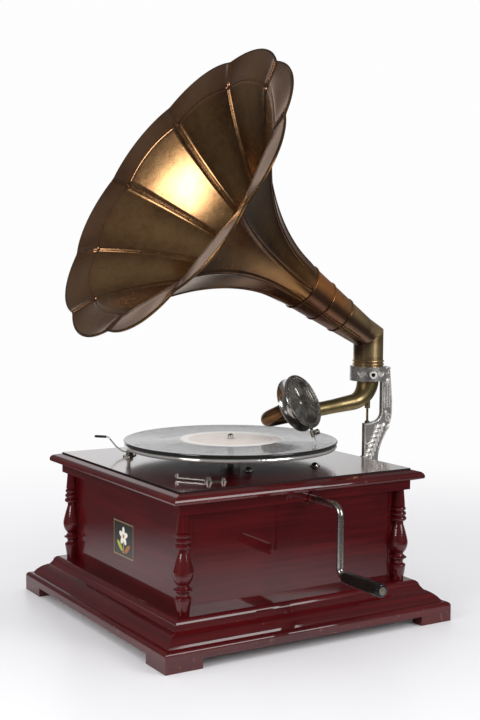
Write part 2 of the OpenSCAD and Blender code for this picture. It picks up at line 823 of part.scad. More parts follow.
module governor_springs() {
    steel() translate([governor_at.x, governor_at.y, 0]) for (i = [0:2]) rotate(i * 120)
        translate([collar_r + fit, -leaf_w / 2, leaf_z]) cube([leaf_t, leaf_w, leaf_h]);
}

module governor_weights() {
    brass() translate([governor_at.x, governor_at.y, 0]) for (i = [0:2]) rotate(i * 120)
        translate([collar_r + fit + leaf_t, 0, leaf_z + leaf_h / 2]) intersection() {
            translate([weight_r * 0.7, 0, 0]) sphere(r = weight_r);
            translate([fit, -weight_r, -weight_r]) cube(2 * weight_r);
        }
}

// Regulator lever: a friction pad at the disc, a fork at the speed shaft's pin
lever_w = 4;
pad_gap = 0.4;
speed_arm = 14;
fork_way = 1.7;
speed_line = angle_to(regulator_at, speed_at);
fork_reach = norm(speed_at - regulator_at) - speed_arm;
pad_y = governor_at.y - disc_r - pad_gap;
module regulator_lever() {
    steel() difference() {
        union() {
            translate([governor_at.x - lever_w, pad_y - lever_w, lever_z])
                cube([regulator_at.x - governor_at.x + lever_w, lever_w, lever_t]);
            translate([regulator_at.x, regulator_at.y, lever_z]) cylinder(r = stud_r + 3.5, h = lever_t);
            translate([regulator_at.x, regulator_at.y, lever_z]) rotate(speed_line)
                translate([0, -lever_w, 0]) cube([fork_reach + 5, 2 * lever_w, lever_t]);
        }
        translate([regulator_at.x, regulator_at.y, lever_z - 1])
            cylinder(r = stud_r + fit, h = lever_t + 2);
        translate([regulator_at.x, regulator_at.y, lever_z - 1]) rotate(speed_line)
            translate([fork_reach - 5, -fork_way, 0]) cube([20, 2 * fork_way, lever_t + 2]);
    }
}

// Speed regulator on the board
speed_lever_l = 38;
speed_turn = -145;
speed_plate_t = 1.2;
speed_bar_z = board_top + speed_plate_t + gap;
speed_bar_t = 1.4;
speed_knob_h = 5;
module speed_plate() {
    nickel() translate([speed_at.x, speed_at.y, board_top]) difference() {
        union() {
            cylinder(r = 5.5, h = speed_plate_t);
            rotate(66) translate([0, -2, 0.1]) cube([16, 4, speed_plate_t - 0.2]);
            rotate(66) translate([16, 0, 0]) cylinder(r = 4, h = speed_plate_t);
            rotate(66) translate([16, 0, speed_plate_t - eps]) cylinder(r = 2.4, h = 3.2);
        }
        translate([0, 0, -1]) cylinder(r = speed_shaft_r + fit, h = speed_plate_t + 2);
    }
}

module speed_lever() {
    nickel() translate([speed_at.x, speed_at.y, speed_bar_z]) difference() {
        rotate(speed_turn) union() {
            cylinder(r = speed_shaft_r + 1.6, h = speed_bar_t);
            translate([speed_shaft_r + 1, -1.9, 0.1])
                cube([speed_lever_l - speed_shaft_r - 1, 3.8, speed_bar_t - 0.2]);
            translate([speed_lever_l, 0, 0]) cylinder(r = 2.2, h = speed_knob_h);
        }
        translate([0, 0, -1]) cylinder(r = speed_shaft_r + fit / 2, h = speed_bar_t + 2);
    }
}

speed_cam_z = lever_z + lever_t + gap;
speed_cam_t = 2.5;
module speed_shaft() {
    steel() translate([speed_at.x, speed_at.y, 0]) {
        translate([0, 0, speed_cam_z + 0.5])
            cylinder(r = speed_shaft_r, h = speed_bar_z + speed_bar_t + 1 - speed_cam_z);
        translate([0, 0, speed_bar_z + speed_bar_t]) cylinder(r = speed_shaft_r + 0.6, h = 2.4);
        rotate(speed_line + 180) {
            translate([-4, -3.6, speed_cam_z]) cube([speed_arm + 7, 7.2, speed_cam_t]);
            translate([speed_arm, 0, lever_z - 1]) cylinder(r = fork_way - 0.4, h = lever_t + 2);
        }
    }
}

// Turntable brake: foot, bent wire lever and a pad at the platter's rim
brake_turn = 226.9;
brake_at = polar(platter_r - 1.5, brake_turn);
brake_post_r = 2.2;
brake_z = board_top + 3.6;
brake_arm_t = 2;
brake_arm_w = 4.4;
brake_wire_r = 0.9;
brake_wire_turn = 216;
brake_wire = [[4, 1], [9, 1.3], [18.5, 6.4], [26.5, 14.6], [31, 17.6], [34, 17.6]];
sleeve_r = 1.6;
sleeve_from = [32, 17.6];
sleeve_to = [48.2, 17.3];
sleeve_turn = 90 - angle_to(sleeve_from, sleeve_to);
pad_arm = 12;
pad_r = 3.3;
pad_h = platter_h - 1;
pad_z = platter_z;
pad_out = platter_r + gap + pad_r;
pivot_out = norm(brake_at);
pad_turn = brake_turn - acos((pad_out * pad_out - pivot_out * pivot_out
    - pad_arm * pad_arm) / (2 * pivot_out * pad_arm));

module brake_foot() {
    nickel() translate([brake_at.x, brake_at.y, board_top]) {
        rotate(brake_turn) rounded_plate(12, 22, 1.5, 3);
        cylinder(r = brake_post_r, h = brake_z - board_top + brake_arm_t + 1.5);
        cylinder(r = brake_post_r + 2, h = brake_z - board_top - gap);
        for (side = [-1, 1]) rotate(brake_turn) translate([0, side * 8, 1.4]) cylinder(r = 2, h = 1.4);
    }
}

module brake_lever() {
    nickel() translate([brake_at.x, brake_at.y, brake_z]) {
        difference() {
            union() {
                cylinder(r = brake_post_r + 2.4, h = brake_arm_t);
                rotate(pad_turn) translate([brake_post_r + 1, -brake_arm_w / 2, 0.2])
                    cube([pad_arm - brake_post_r - 1, brake_arm_w, brake_arm_t - 0.4]);
                rotate(pad_turn) translate([pad_arm, 0, 0]) cylinder(r = 2.6, h = brake_arm_t);
            }
            translate([0, 0, -1]) cylinder(r = brake_post_r + fit, h = brake_arm_t + 2);
        }
        rotate(pad_turn) translate([pad_arm, 0, 1]) cylinder(r = 2, h = pad_z + pad_h - brake_z - 1);
        rotate([90, 0, brake_wire_turn]) linear_extrude(height = 2 * brake_wire_r, center = true)
            polygon(concat(
            [for (p = brake_wire) p + [0, brake_wire_r]],
            [for (i = [len(brake_wire) - 1:-1:0]) brake_wire[i] - [0, brake_wire_r]]
        ));
        rotate(brake_wire_turn) translate([sleeve_from.x, 0, sleeve_from.y]) rotate([0, sleeve_turn, 0])
            cylinder(r = sleeve_r, h = norm(sleeve_to - sleeve_from));
    }
}

module brake_pad() {
    black() translate([brake_at.x, brake_at.y, pad_z]) rotate(pad_turn)
        translate([pad_arm, 0, 0]) difference() {
        cylinder(r = pad_r, h = pad_h);
        translate([0, 0, -1]) cylinder(r = 2 + fit / 2, h = pad_h + 2);
    }
}

// Back bracket: foot plate on the rear panel, stem, ledge for the pivot rod, spine and collar
collar_z = board_top + collar_rise;
pivot_z = board_top + ledge_rise;
collar_out = elbow_r + fit + collar_wall;
stem_rear = 38.2;
spine_front = 21.2;
foot_plate_t = 6;
foot_plate_w = 46;
foot_plate_h = 64;
foot_plate_z = base_top + 26;
nose_in = 6.2;
pivot_r_rod = 1.5;
nut_r = 3.3;
nut_h = 3;
pivot_depth = 12;
screw_r = 2;
screw_l = 10;
clamp_turn = -24.5;
clamp_z = collar_z + collar_h / 2;
seat_h = 3;

// Side outline of the stem as [distance behind the panel, height]
behind = arm_y - panel_at;
function side_arc(p, q, rise) = arc_between(p, q, rise, 10);
stem_outline = concat(
    [[foot_plate_t - 1, foot_plate_z + foot_plate_h - 6]],
    side_arc([behind - 26, board_top - 32], [behind - nose_in, board_top - 10], -4),
    [[behind - nose_in, pivot_z], [behind + nut_r + 0.8, pivot_z]],
    side_arc([behind + spine_front - 12, pivot_z + 1.4], [behind + spine_front, pivot_z + 11.6], 2.8),
    [[behind + spine_front, collar_z + collar_h - 1]],
    side_arc([behind + stem_rear - 10.4, collar_z + collar_h - 1], [behind + stem_rear - 3.4,
        collar_z + collar_h - 9], -1.8),
    [[behind + stem_rear, pivot_z + 28]],
    side_arc([behind + stem_rear, pivot_z + 12], [behind + stem_rear - 9.6, pivot_z - 14.7], -1.9),
    side_arc([behind + stem_rear - 10.2, pivot_z - 16], [behind + 17.6, board_top - 8], 1.2),
    side_arc([behind + 17, board_top - 10], [behind - 22, foot_plate_z + 14], -10),
    [[foot_plate_t - 1, foot_plate_z + 6]]
);

module along_arm(z, h, r) {
    translate([0, arm_y, z]) cylinder(r = r, h = h);
}

module at_clamp() {
    translate([0, arm_y, clamp_z]) rotate(clamp_turn) rotate([0, 90, 0]) children();
}

module bracket_screw_places() {
    for (c = corners) translate([c.x * (foot_plate_w / 2 - 8), panel_at + foot_plate_t,
        foot_plate_z + foot_plate_h / 2 + c.y * (foot_plate_h / 2 - 8)])
        rotate([-90, 0, 0]) children();
}

module back_bracket() {
    nickel() difference() {
        union() {
            translate([0, panel_at, 0]) rotate([90, 0, 90])
                linear_extrude(height = stem_w, center = true) polygon(stem_outline);
            translate([0, panel_at, foot_plate_z + foot_plate_h / 2]) rotate([-90, 0, 0])
                rounded_plate(foot_plate_w, foot_plate_h, foot_plate_t, 8);
            along_arm(collar_z, collar_h, collar_out);
            at_clamp() translate([0, 0, elbow_r + 2]) cylinder(r = 5, h = collar_wall + 1);
        }
        along_arm(collar_z + seat_h, collar_h, elbow_r + fit);
        along_arm(collar_z - 1, collar_h, arm_top_r + fit);
        along_arm(pivot_z - pivot_depth, pivot_depth + 1, pivot_r_rod + fit);
        at_clamp() cylinder(r = screw_r + fit, h = 2 * collar_out);
        bracket_screw_places() translate([0, 0, -foot_plate_t - 1])
            cylinder(r = screw_r + fit, h = foot_plate_t + 2);
    }
}

module bracket_screws() {
    steel() bracket_screw_places() {
        translate([0, 0, -foot_plate_t - screw_l + 1]) cylinder(r = screw_r, h = foot_plate_t + screw_l);
        intersection() {
            translate([0, 0, -2]) sphere(r = 4.8);
            cylinder(r = 6, h = 6);
        }
    }
}

// Horn clamp screw with a round knurled head
clamp_head_r = 5;
clamp_head_h = 5;
module horn_clamp_screw() {
    nickel() at_clamp() {
        translate([0, 0, elbow_r + gap]) cylinder(r = screw_r, h = collar_wall + 4);
        translate([0, 0, elbow_r + collar_wall + 3 + gap]) difference() {
            cylinder(r = clamp_head_r, h = clamp_head_h);
            translate([0, 0, clamp_head_h - 1.6]) cylinder(r = clamp_head_r - 2, h = 2);
        }
    }
}

// Tubes swept along a path in one plane: ring centres, directions, radii and the plane's normal
function tube_ring(c, dir, side, r, sides) =
    let(up = cross(dir, side)) [for (i = [0:sides - 1]) c + r * (cos(i * 360 / sides) * side
        + sin(i * 360 / sides) * up)];

module tube(centres, dirs, radii, side, wall, sides) {
    n = len(centres);
    outer = [for (k = [0:n - 1]) each tube_ring(centres[k], dirs[k], side, radii[k], sides)];
    inner = [for (k = [0:n - 1]) each tube_ring(centres[k], dirs[k], side, radii[k] - wall, sides)];
    shift = n * sides;
    faces = [for (k = [0:n - 2]) for (i = [0:sides - 1])
        let(a = k * sides + i, b = k * sides + (i + 1) % sides, c = b + sides, d = a + sides)
        each [[a, d, c], [a, c, b], [a + shift, c + shift, d + shift], [a + shift, b + shift,
            c + shift]]];
    ends = [for (k = [0, n - 1]) for (i = [0:sides - 1])
        let(a = k * sides + i, b = k * sides + (i + 1) % sides)
        each k == 0 ? [[a, b, b + shift], [a, b + shift, a + shift]] : [[a, b + shift, b], [a, a + shift,
            b + shift]]];
    polyhedron(points = concat(outer, inner), faces = concat(faces, ends));
}

// Tone arm: upright bearing end, a tapering bend and a slim straight tube
arm_dir = [0, -cos(arm_slope), -sin(arm_slope)];
hook_at = [0, arm_y - hook_reach, record_top + hook_rise];
arm_joint_l = 46;
arm_joint = hook_at - arm_joint_l * arm_dir;
bend_top = collar_z - 6;
arm_wall = 1.5;
spigot_l = 12;
spigot_r = arm_end_r - 1.4;
bend_turn = 90 - arm_slope;
arm_line_z = hook_at.z + hook_reach * tan(arm_slope);
arm_bend = (bend_top - arm_line_z) / tan(bend_turn / 2);
bend_steps = 7;
bend_end_r = arm_end_r + 1.6;
bend_points = [for (i = [0:bend_steps]) let(a = bend_turn * i / bend_steps)
    [0, arm_y - arm_bend * (1 - cos(a)), bend_top - arm_bend * sin(a)]];
bend_dirs = [for (i = [0:bend_steps]) let(a = bend_turn * i / bend_steps) [0, -sin(a), -cos(a)]];
bend_radii = [for (i = [0:bend_steps]) let(k = i / bend_steps)
    arm_top_r - 0.4 + (bend_end_r - arm_top_r + 0.4) * k * k * (3 - 2 * k)];
arm_straight = arm_joint - bend_points[bend_steps];
arm_mid = bend_points[bend_steps] + 0.3 * arm_straight;

boss_z = pivot_z + 19;
boss_h = 9;
boss_bore = 4.2;

module tone_arm() {
    brass() difference() {
        union() {
            along_arm(bend_top - 1, collar_z + seat_h + 5 - bend_top, arm_top_r);
            tube(
                concat([[0, arm_y, bend_top + 2]], bend_points, [arm_mid, arm_joint + 8 * -arm_dir]),
                concat([[0, 0, -1]], bend_dirs, [arm_dir, arm_dir]),
                concat([arm_top_r - 0.4], bend_radii, [arm_end_r + 0.4, arm_end_r]),
                [1, 0, 0], arm_wall, 24
            );
            along_gooseneck(-spigot_l - 3, spigot_l + 3, arm_end_r + 0.5);
            along_arm(boss_z, boss_h, pivot_r_rod + 2);
        }
        along_arm(bend_top - 2, 30, arm_top_r - arm_wall);
        along_gooseneck(-spigot_l - 4, spigot_l + 5, spigot_r + fit);
        along_arm(pivot_z, boss_z + boss_bore - pivot_z, pivot_r_rod + fit / 2);
    }
}

module along_gooseneck(from, h, r) {
    translate(arm_joint + from * arm_dir) rotate([90 + arm_slope, 0, 0]) cylinder(r = r, h = h);
}

module arm_pivot_rod() {
    brass() along_arm(pivot_z - pivot_depth + gap,
        boss_z + boss_bore - pivot_z + pivot_depth - gap - fit, pivot_r_rod);
}

module pivot_nut() {
    nickel() difference() {
        along_arm(pivot_z, nut_h, nut_r);
        along_arm(pivot_z - 1, nut_h + 2, pivot_r_rod + fit);
    }
}

// Gooseneck: a hooked tube from the arm to the back of the sound box
box_dir = [cos(box_tilt) * cos(box_turn), cos(box_tilt) * sin(box_turn), sin(box_tilt)];
box_face = hook_at + box_reach * box_dir;
hook_side = unit(cross(arm_dir, box_dir));
hook_turn = acos(arm_dir * box_dir);
hook_tangent = hook_bend * tan(hook_turn / 2);
hook_start = hook_at - hook_tangent * arm_dir;
hook_up = cross(hook_side, arm_dir);
hook_centre = hook_start + hook_bend * hook_up;
hook_steps = 8;
hook_points = [for (i = [0:hook_steps]) let(a = hook_turn * i / hook_steps)
    hook_centre + hook_bend * (sin(a) * arm_dir - cos(a) * hook_up)];
hook_dirs = [for (i = [0:hook_steps]) let(a = hook_turn * i / hook_steps) cos(a) * arm_dir
    + sin(a) * hook_up];
seal_t = 3;
flange_t = 2;
flange_r = 12;
neck_end = box_face - (box_d + seal_t + 0.5) * box_dir;

module at_box() {
    translate(box_face) rotate([0, 90 - box_tilt, box_turn]) children();
}

module gooseneck() {
    brass() {
        difference() {
            along_gooseneck(-spigot_l, spigot_l + 4, spigot_r);
            along_gooseneck(-spigot_l - 1, spigot_l + 6, spigot_r - 1.4);
        }
        tube(
            concat([arm_joint + gap * arm_dir], hook_points, [neck_end]),
            concat([arm_dir], hook_dirs, [box_dir]),
            [for (i = [0:hook_steps + 2]) arm_end_r],
            hook_side, arm_end_r - spigot_r + 1, 20
        );
        at_box() translate([0, 0, -box_d - seal_t - flange_t]) difference() {
            cylinder(r = flange_r, h = flange_t);
            translate([0, 0, -1]) cylinder(r = spigot_r - 1, h = flange_t + 2);
        }
    }
}

// Sound box: shell, lid, diaphragm between gaskets, stylus bar, needle and its screw
shell_r = box_r - 1.2;
seat_r = box_r - 5.2;
gasket_z = -9;
gasket_t = 1.5;
diaphragm_t = 0.4;
bar_z = -4.2;
bar_w = 4;
bar_t = 2;
slot_w = bar_w + 0.6;
chuck_r = 3.2;
chuck_x = box_r + 2;
chuck_l = 8;
needle_r = 0.8;
needle_clear = 0.35;
needle_tip_x = (box_face.z + bar_z * sin(box_tilt) - record_top - needle_clear) / cos(box_tilt);
screw_x = chuck_x + chuck_l / 2;

module bar_slot() {
    translate([seat_r - 3, -slot_w / 2, bar_z - bar_t / 2 - 0.3]) cube([12, slot_w, bar_t + 0.6]);
}

module sound_box_shell() {
    nickel() at_box() difference() {
        translate([0, 0, -box_d]) cylinder(r = shell_r, h = box_d - 3);
        translate([0, 0, gasket_z]) cylinder(r = seat_r, h = 20);
        translate([0, 0, 3 - box_d]) cylinder(r = seat_r - 3.5, h = 20);
        translate([0, 0, -box_d - 1]) cylinder(r = spigot_r - 1, h = 6);
        bar_slot();
    }
}

lid_t = 1.2;
lid_face_z = -2.6;
module sound_box_lid() {
    color([0.3, 0.3, 0.31]) placed() at_box() difference() {
        translate([0, 0, -7]) cylinder(r = box_r, h = 7);
        translate([0, 0, -8]) cylinder(r = shell_r + fit, h = 5);
        translate([0, 0, -8]) cylinder(r = seat_r, h = 8 + lid_face_z - lid_t);
        translate([0, 0, lid_face_z]) cylinder(r = seat_r - 1, h = 5);
        bar_slot();
    }
}

module diaphragm() {
    color([0.75, 0.72, 0.62]) placed() at_box() translate([0, 0, gasket_z + gasket_t])
        cylinder(r = seat_r - 0.2, h = diaphragm_t);
}

module gasket(z) {
    translate([0, 0, z]) difference() {
        cylinder(r = seat_r - 0.1, h = gasket_t);
        translate([0, 0, -1]) cylinder(r = seat_r - 3.5, h = gasket_t + 2);
    }
}

module rubber_seals() {
    black() at_box() {
        gasket(gasket_z);
        difference() {
            gasket(gasket_z + gasket_t + diaphragm_t);
            translate([0, 0, 1.3]) bar_slot();
        }
        translate([0, 0, -box_d - seal_t]) difference() {
            cylinder(r = flange_r + 1.5, h = seal_t);
            translate([0, 0, -1]) cylinder(r = spigot_r - 1, h = seal_t + 2);
        }
    }
}

module stylus_bar() {
    nickel() at_box() difference() {
        union() {
            translate([-1.5, -bar_w / 2, bar_z - bar_t / 2]) cube([chuck_x + 3, bar_w, bar_t]);
            translate([0, 0, gasket_z + gasket_t + diaphragm_t])
                cylinder(r = 1.3, h = bar_z - gasket_z - gasket_t - diaphragm_t);
            translate([chuck_x, 0, bar_z]) rotate([0, 90, 0]) cylinder(r = chuck_r, h = chuck_l);
        }
        translate([chuck_x + 2, 0, bar_z]) rotate([0, 90, 0]) cylinder(r = needle_r + fit, h = chuck_l);
        translate([screw_x, 0, bar_z]) cylinder(r = 1.2 + fit, h = chuck_r + 2);
    }
}

module needle_screw() {
    nickel() at_box() translate([screw_x, 0, bar_z]) {
        translate([0, 0, needle_r + gap]) cylinder(r = 1.2, h = chuck_r + 1);
        translate([0, 0, chuck_r + gap]) cylinder(r = 2, h = 1.6);
        translate([0, 0, chuck_r + gap + 1.5]) cylinder(r = 3.4, h = 3);
    }
}

needle_point = 6;
module needle() {
    steel() at_box() translate([chuck_x + 2.2, 0, bar_z]) rotate([0, 90, 0]) {
        cylinder(r = needle_r, h = needle_tip_x - needle_point - chuck_x - 2.2, $fn = 24);
        translate([0, 0, needle_tip_x - needle_point - chuck_x - 2.2])
            cylinder(r1 = needle_r, r2 = 0.1, h = needle_point, $fn = 24);
    }
}

// Horn: elbow tube, conical neck and a bell of petals, all on one slanted axis
elbow_at = [0, arm_y, board_top + elbow_rise];
elbow_wall = 1.4;
elbow_foot = collar_z + seat_h + 0.1;
mitre = (90 - horn_slope) / 2;
bead_r = 1.2;

module half_space(below) {
    translate(elbow_at) rotate([mitre, 0, 0]) translate([-100, -100, below ? -400 : 0])
        cube([200, 200, 400]);
}

module along_horn() {
    translate(elbow_at) rotate([90 - horn_slope, 0, 0]) children();
}

module bead(r, z) {
    translate([0, 0, z]) rotate_extrude() translate([r, 0]) circle(r = bead_r, $fn = 24);
}

module horn_elbow() {
    bronze() difference() {
        union() {
            intersection() {
                along_arm(elbow_foot, elbow_at.z - elbow_foot + 60, elbow_r);
                half_space(true);
            }
            translate([0, arm_y, 0]) for (z = [collar_z + collar_h + 3, collar_z + collar_h + 7])
                bead(elbow_r, z);
        }
        along_arm(elbow_foot - 1, elbow_at.z - elbow_foot + 80, elbow_r - elbow_wall);
    }
}

neck_start = 14;
neck_back = elbow_r * tan(mitre) + 6;
neck_beads = [0.44, 0.72];
function neck_radius(t) = elbow_r + (neck_r - elbow_r) * max(0, t - neck_start) / (neck_l - neck_start);

module neck_solid(inset) {
    rotate_extrude() polygon([
        [0, -neck_back - inset], [elbow_r - inset, -neck_back - inset], [elbow_r - inset, neck_start],
        [neck_r - inset, neck_l + inset], [0, neck_l + inset]
    ]);
}

module horn_neck() {
    bronze() difference() {
        union() {
            intersection() {
                along_horn() neck_solid(0);
                half_space(false);
            }
            along_horn() for (k = neck_beads) bead(neck_radius(k * neck_l), k * neck_l);
            along_horn() bead(neck_r, neck_l - bead_r);
        }
        along_horn() neck_solid(elbow_wall);
    }
}

// Bell: radius along the axis, how each petal lies between the seams, and the petals' grid
bell_power = 2.1;
bell_entry = 0.075;
bell_rows = 10;
rim_rows = 2;
petal_columns = 6;
petal_turn = -9.4;
horn_axis = [0, -cos(horn_slope), sin(horn_slope)];
horn_up = [0, sin(horn_slope), cos(horn_slope)];
horn_side = [1, 0, 0];
crease_growth = crease_r - neck_r - bell_entry * bell_l;
function bell_radius(t) =
    t <= bell_l
        ? neck_r + bell_entry * t + crease_growth * pow(t / bell_l, bell_power)
        : crease_r + (rim_r - crease_r) * (t - bell_l) / rim_l;
function bell_slope(t) =
    t < bell_l
        ? bell_entry + crease_growth * bell_power / bell_l * pow(t / bell_l, bell_power - 1)
        : (rim_r - crease_r) / rim_l;
flat_start = 0.2;
function petal_bow(across) = 1 - pow(2 * across - 1, 2);
function petal_swell(t, across) =
    let(u = t / bell_l)
    petal_bow(across) * (u <= 1
        ? -petal_flat * min(1, u / flat_start) * (1 - pow(u, 6))
        : scallop / rim_r * (t - bell_l) / rim_l);
function petal_lead(t, across) =
    crease_lead * petal_bow(across) * (t <= bell_l ? pow(t / bell_l, 4) : 1 - (t - bell_l) / rim_l);
bell_stations = concat(
    [for (j = [0:bell_rows]) bell_l * j / bell_rows],
    [for (j = [1:rim_rows]) bell_l + rim_l * j / rim_rows]
);
function bell_point(t, turn, across, inset) =
    let(
        lean = t == 0 ? 0 : atan(bell_slope(t)),
        along = neck_l + t + petal_lead(t, across) + inset * sin(lean),
        r = bell_radius(t) * (1 + petal_swell(t, across)) - inset * cos(lean)
    )
    elbow_at + along * horn_axis + r * (cos(turn) * horn_up + sin(turn) * horn_side);

module petal(i) {
    rows = len(bell_stations) - 1;
    cols = petal_columns;
    step = 360 / petals;
    points = [for (inset = [0, horn_wall]) for (t = bell_stations) for (k = [0:cols])
        bell_point(t, petal_turn + (i + k / cols) * step, k / cols, inset)];
    shift = (rows + 1) * (cols + 1);
    skin = [for (j = [0:rows - 1]) for (k = [0:cols - 1])
        let(a = j * (cols + 1) + k, b = a + 1, c = b + cols + 1, d = a + cols + 1)
        each [[a, b, c], [a, c, d], [a + shift, c + shift, b + shift], [a + shift, d + shift,
            c + shift]]];
    sides = [for (k = [0, cols]) for (j = [0:rows - 1])
        let(a = j * (cols + 1) + k, d = a + cols + 1)
        each k == 0
            ? [[a, d, d + shift], [a, d + shift, a + shift]]
            : [[a, d + shift, d], [a, a + shift, d + shift]]];
    ends = [for (j = [0, rows]) for (k = [0:cols - 1])
        let(a = j * (cols + 1) + k, b = a + 1)
        each j == 0
            ? [[a, b + shift, b], [a, a + shift, b + shift]]
            : [[a, b, b + shift], [a, b + shift, a + shift]]];
    polyhedron(points = points, faces = concat(skin, sides, ends));
}

module horn_petals() {
    bronze() for (i = [0:petals - 1]) petal(i);
}

// The object's outermost places give the origin
reach_right = crank_x + crank_arm_to_grip + grip_l + grip_head_t;
reach_left = max(base_at, rim_r + scallop);
reach_rear = arm_y + stem_rear;
centre_x = (reach_right - reach_left) / 2;
centre_y = (reach_rear - base_at) / 2;

base_rails();
bottom_board();
corner_feet();
panel_front();
panel_right();
panel_rear();
panel_left();
corner_posts();
corner_columns();
frieze_rails();
top_moulding();
motor_board();
crank_bush();
motor_top_plate();
motor_bottom_plate();
motor_pillars();
motor_bolts();
motor_washers();
spindle();
governor_drive_wheel();
platter();
platter_felt();
record();
record_label();
intermediate_wheel();
spring_barrel();
barrel_cover();
mainspring();
barrel_arbor();
crown_wheel();
crank_rod();
crank_grip();
governor_shaft();
governor_weights();
governor_springs();
regulator_lever();
speed_plate();
speed_lever();
speed_shaft();
brake_foot();
brake_lever();
brake_pad();
back_bracket();
bracket_screws();
horn_clamp_screw();
tone_arm();
arm_pivot_rod();
pivot_nut();
gooseneck();
sound_box_shell();
sound_box_lid();
diaphragm();
rubber_seals();
stylus_bar();
needle_screw();
needle();
horn_elbow();
horn_neck();
horn_petals();
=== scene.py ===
import json
import math

import bmesh
import bpy
import numpy as np
from mathutils import Matrix, Vector


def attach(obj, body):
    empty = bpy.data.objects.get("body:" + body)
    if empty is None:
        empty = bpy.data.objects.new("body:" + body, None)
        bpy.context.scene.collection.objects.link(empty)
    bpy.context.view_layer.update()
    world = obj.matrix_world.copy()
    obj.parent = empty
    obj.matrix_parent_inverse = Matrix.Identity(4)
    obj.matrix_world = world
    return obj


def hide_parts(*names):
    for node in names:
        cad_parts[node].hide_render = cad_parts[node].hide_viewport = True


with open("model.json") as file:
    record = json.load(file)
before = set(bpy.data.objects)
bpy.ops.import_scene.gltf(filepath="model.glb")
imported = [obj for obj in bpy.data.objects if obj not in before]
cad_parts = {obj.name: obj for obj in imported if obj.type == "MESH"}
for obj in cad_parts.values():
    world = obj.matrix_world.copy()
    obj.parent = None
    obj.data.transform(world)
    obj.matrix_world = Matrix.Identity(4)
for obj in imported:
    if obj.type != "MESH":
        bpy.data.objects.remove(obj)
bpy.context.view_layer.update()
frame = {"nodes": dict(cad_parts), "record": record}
node = frame["nodes"]
scene = bpy.context.scene
scene.view_settings.view_transform = "Standard"

# Sizes in millimetres from the spindle's axis on the floor, as in the part's source
MIDDLE = np.array([40.25, 28.1, 0.0])
BOARD_TOP = 175.4
PANEL_AT = 138.5
TOP_AT = 151.3
MOULDING_AT = 163.2
BASE_AT = 186.0
BASE_TOP = 45.0
RIM_MIDDLE = 194.2
RECORD_UNDER = 198.5
RECORD_TOP = 200.7
GRIP_AT = (0.0, 15.4, 79.0)
PIVOT_Y = 204.0
PIVOT = (0.0, PIVOT_Y, 0.0)
CLAMP_Z = 271.0
CLAMP_TURN = math.radians(-24.5)
COLLAR_R = 22.8
ALONG_X, UP = (1.0, 0.0, 0.0), (0.0, 0.0, 1.0)

ELBOW = np.array([0.0, PIVOT_Y, 317.9])
HORN_SLOPE = math.radians(31.4)
HORN_AXIS = np.array([0.0, -math.cos(HORN_SLOPE), math.sin(HORN_SLOPE)])
HORN_UP = np.array([0.0, math.sin(HORN_SLOPE), math.cos(HORN_SLOPE)])
HORN_SIDE = np.array([1.0, 0.0, 0.0])
NECK_L = 122.5
NECK_RINGS = (0.44 * NECK_L, 0.72 * NECK_L, NECK_L)
ELBOW_R = 19.0
NECK_R = 29.0
BELL_L = 199.0
BELL_R = 157.0
BELL_ENTRY = 0.075
BELL_POWER = 2.1
BELL_GROWTH = BELL_R - NECK_R - BELL_ENTRY * BELL_L
RIM_L = 11.5
RIM_R = 185.0
PETALS = 10
PETAL_TURN = math.radians(-9.4)
PETAL_FLAT = 0.042
SCALLOP = 9.0
CREASE_LEAD = 5.0
BELL_WALL = 1.2
RIM_ROLL = 1.5

ARM_R = 8.5
ARM_SLOPE = math.radians(6.8)
ARM_DIR = np.array([0.0, -math.cos(ARM_SLOPE), -math.sin(ARM_SLOPE)])
HOOK = np.array([0.0, 39.0, 218.0])
ARM_JOINT = HOOK - 46 * ARM_DIR
BOX_TURN = math.radians(24.9)
BOX_TILT = math.radians(25.4)
BOX_X = np.array([math.sin(BOX_TILT) * math.cos(BOX_TURN), math.sin(BOX_TILT) * math.sin(BOX_TURN),
                  -math.cos(BOX_TILT)])
BOX_Z = np.array([math.cos(BOX_TILT) * math.cos(BOX_TURN), math.cos(BOX_TILT) * math.sin(BOX_TURN),
                  math.sin(BOX_TILT)])
BOX_Y = np.cross(BOX_Z, BOX_X)
BOX_R = 33.4
BOX_FACE = HOOK + 70.3 * BOX_Z


def row(points):
    """Millimetres from the spindle to metres in the row frame."""
    return (np.asarray(points, float) - MIDDLE) / 1000


def rgb(red, green, blue):
    """A colour as it shows on a screen, 0 to 255, to the shader's numbers."""
    level = [c / 255 for c in (red, green, blue)]
    return (*[c / 12.92 if c < 0.04045 else ((c + 0.055) / 1.055) ** 2.4 for c in level], 1)


def unit(v):
    """The same direction with a length of 1."""
    return np.asarray(v, float) / np.linalg.norm(v)


# Shader values and finishes


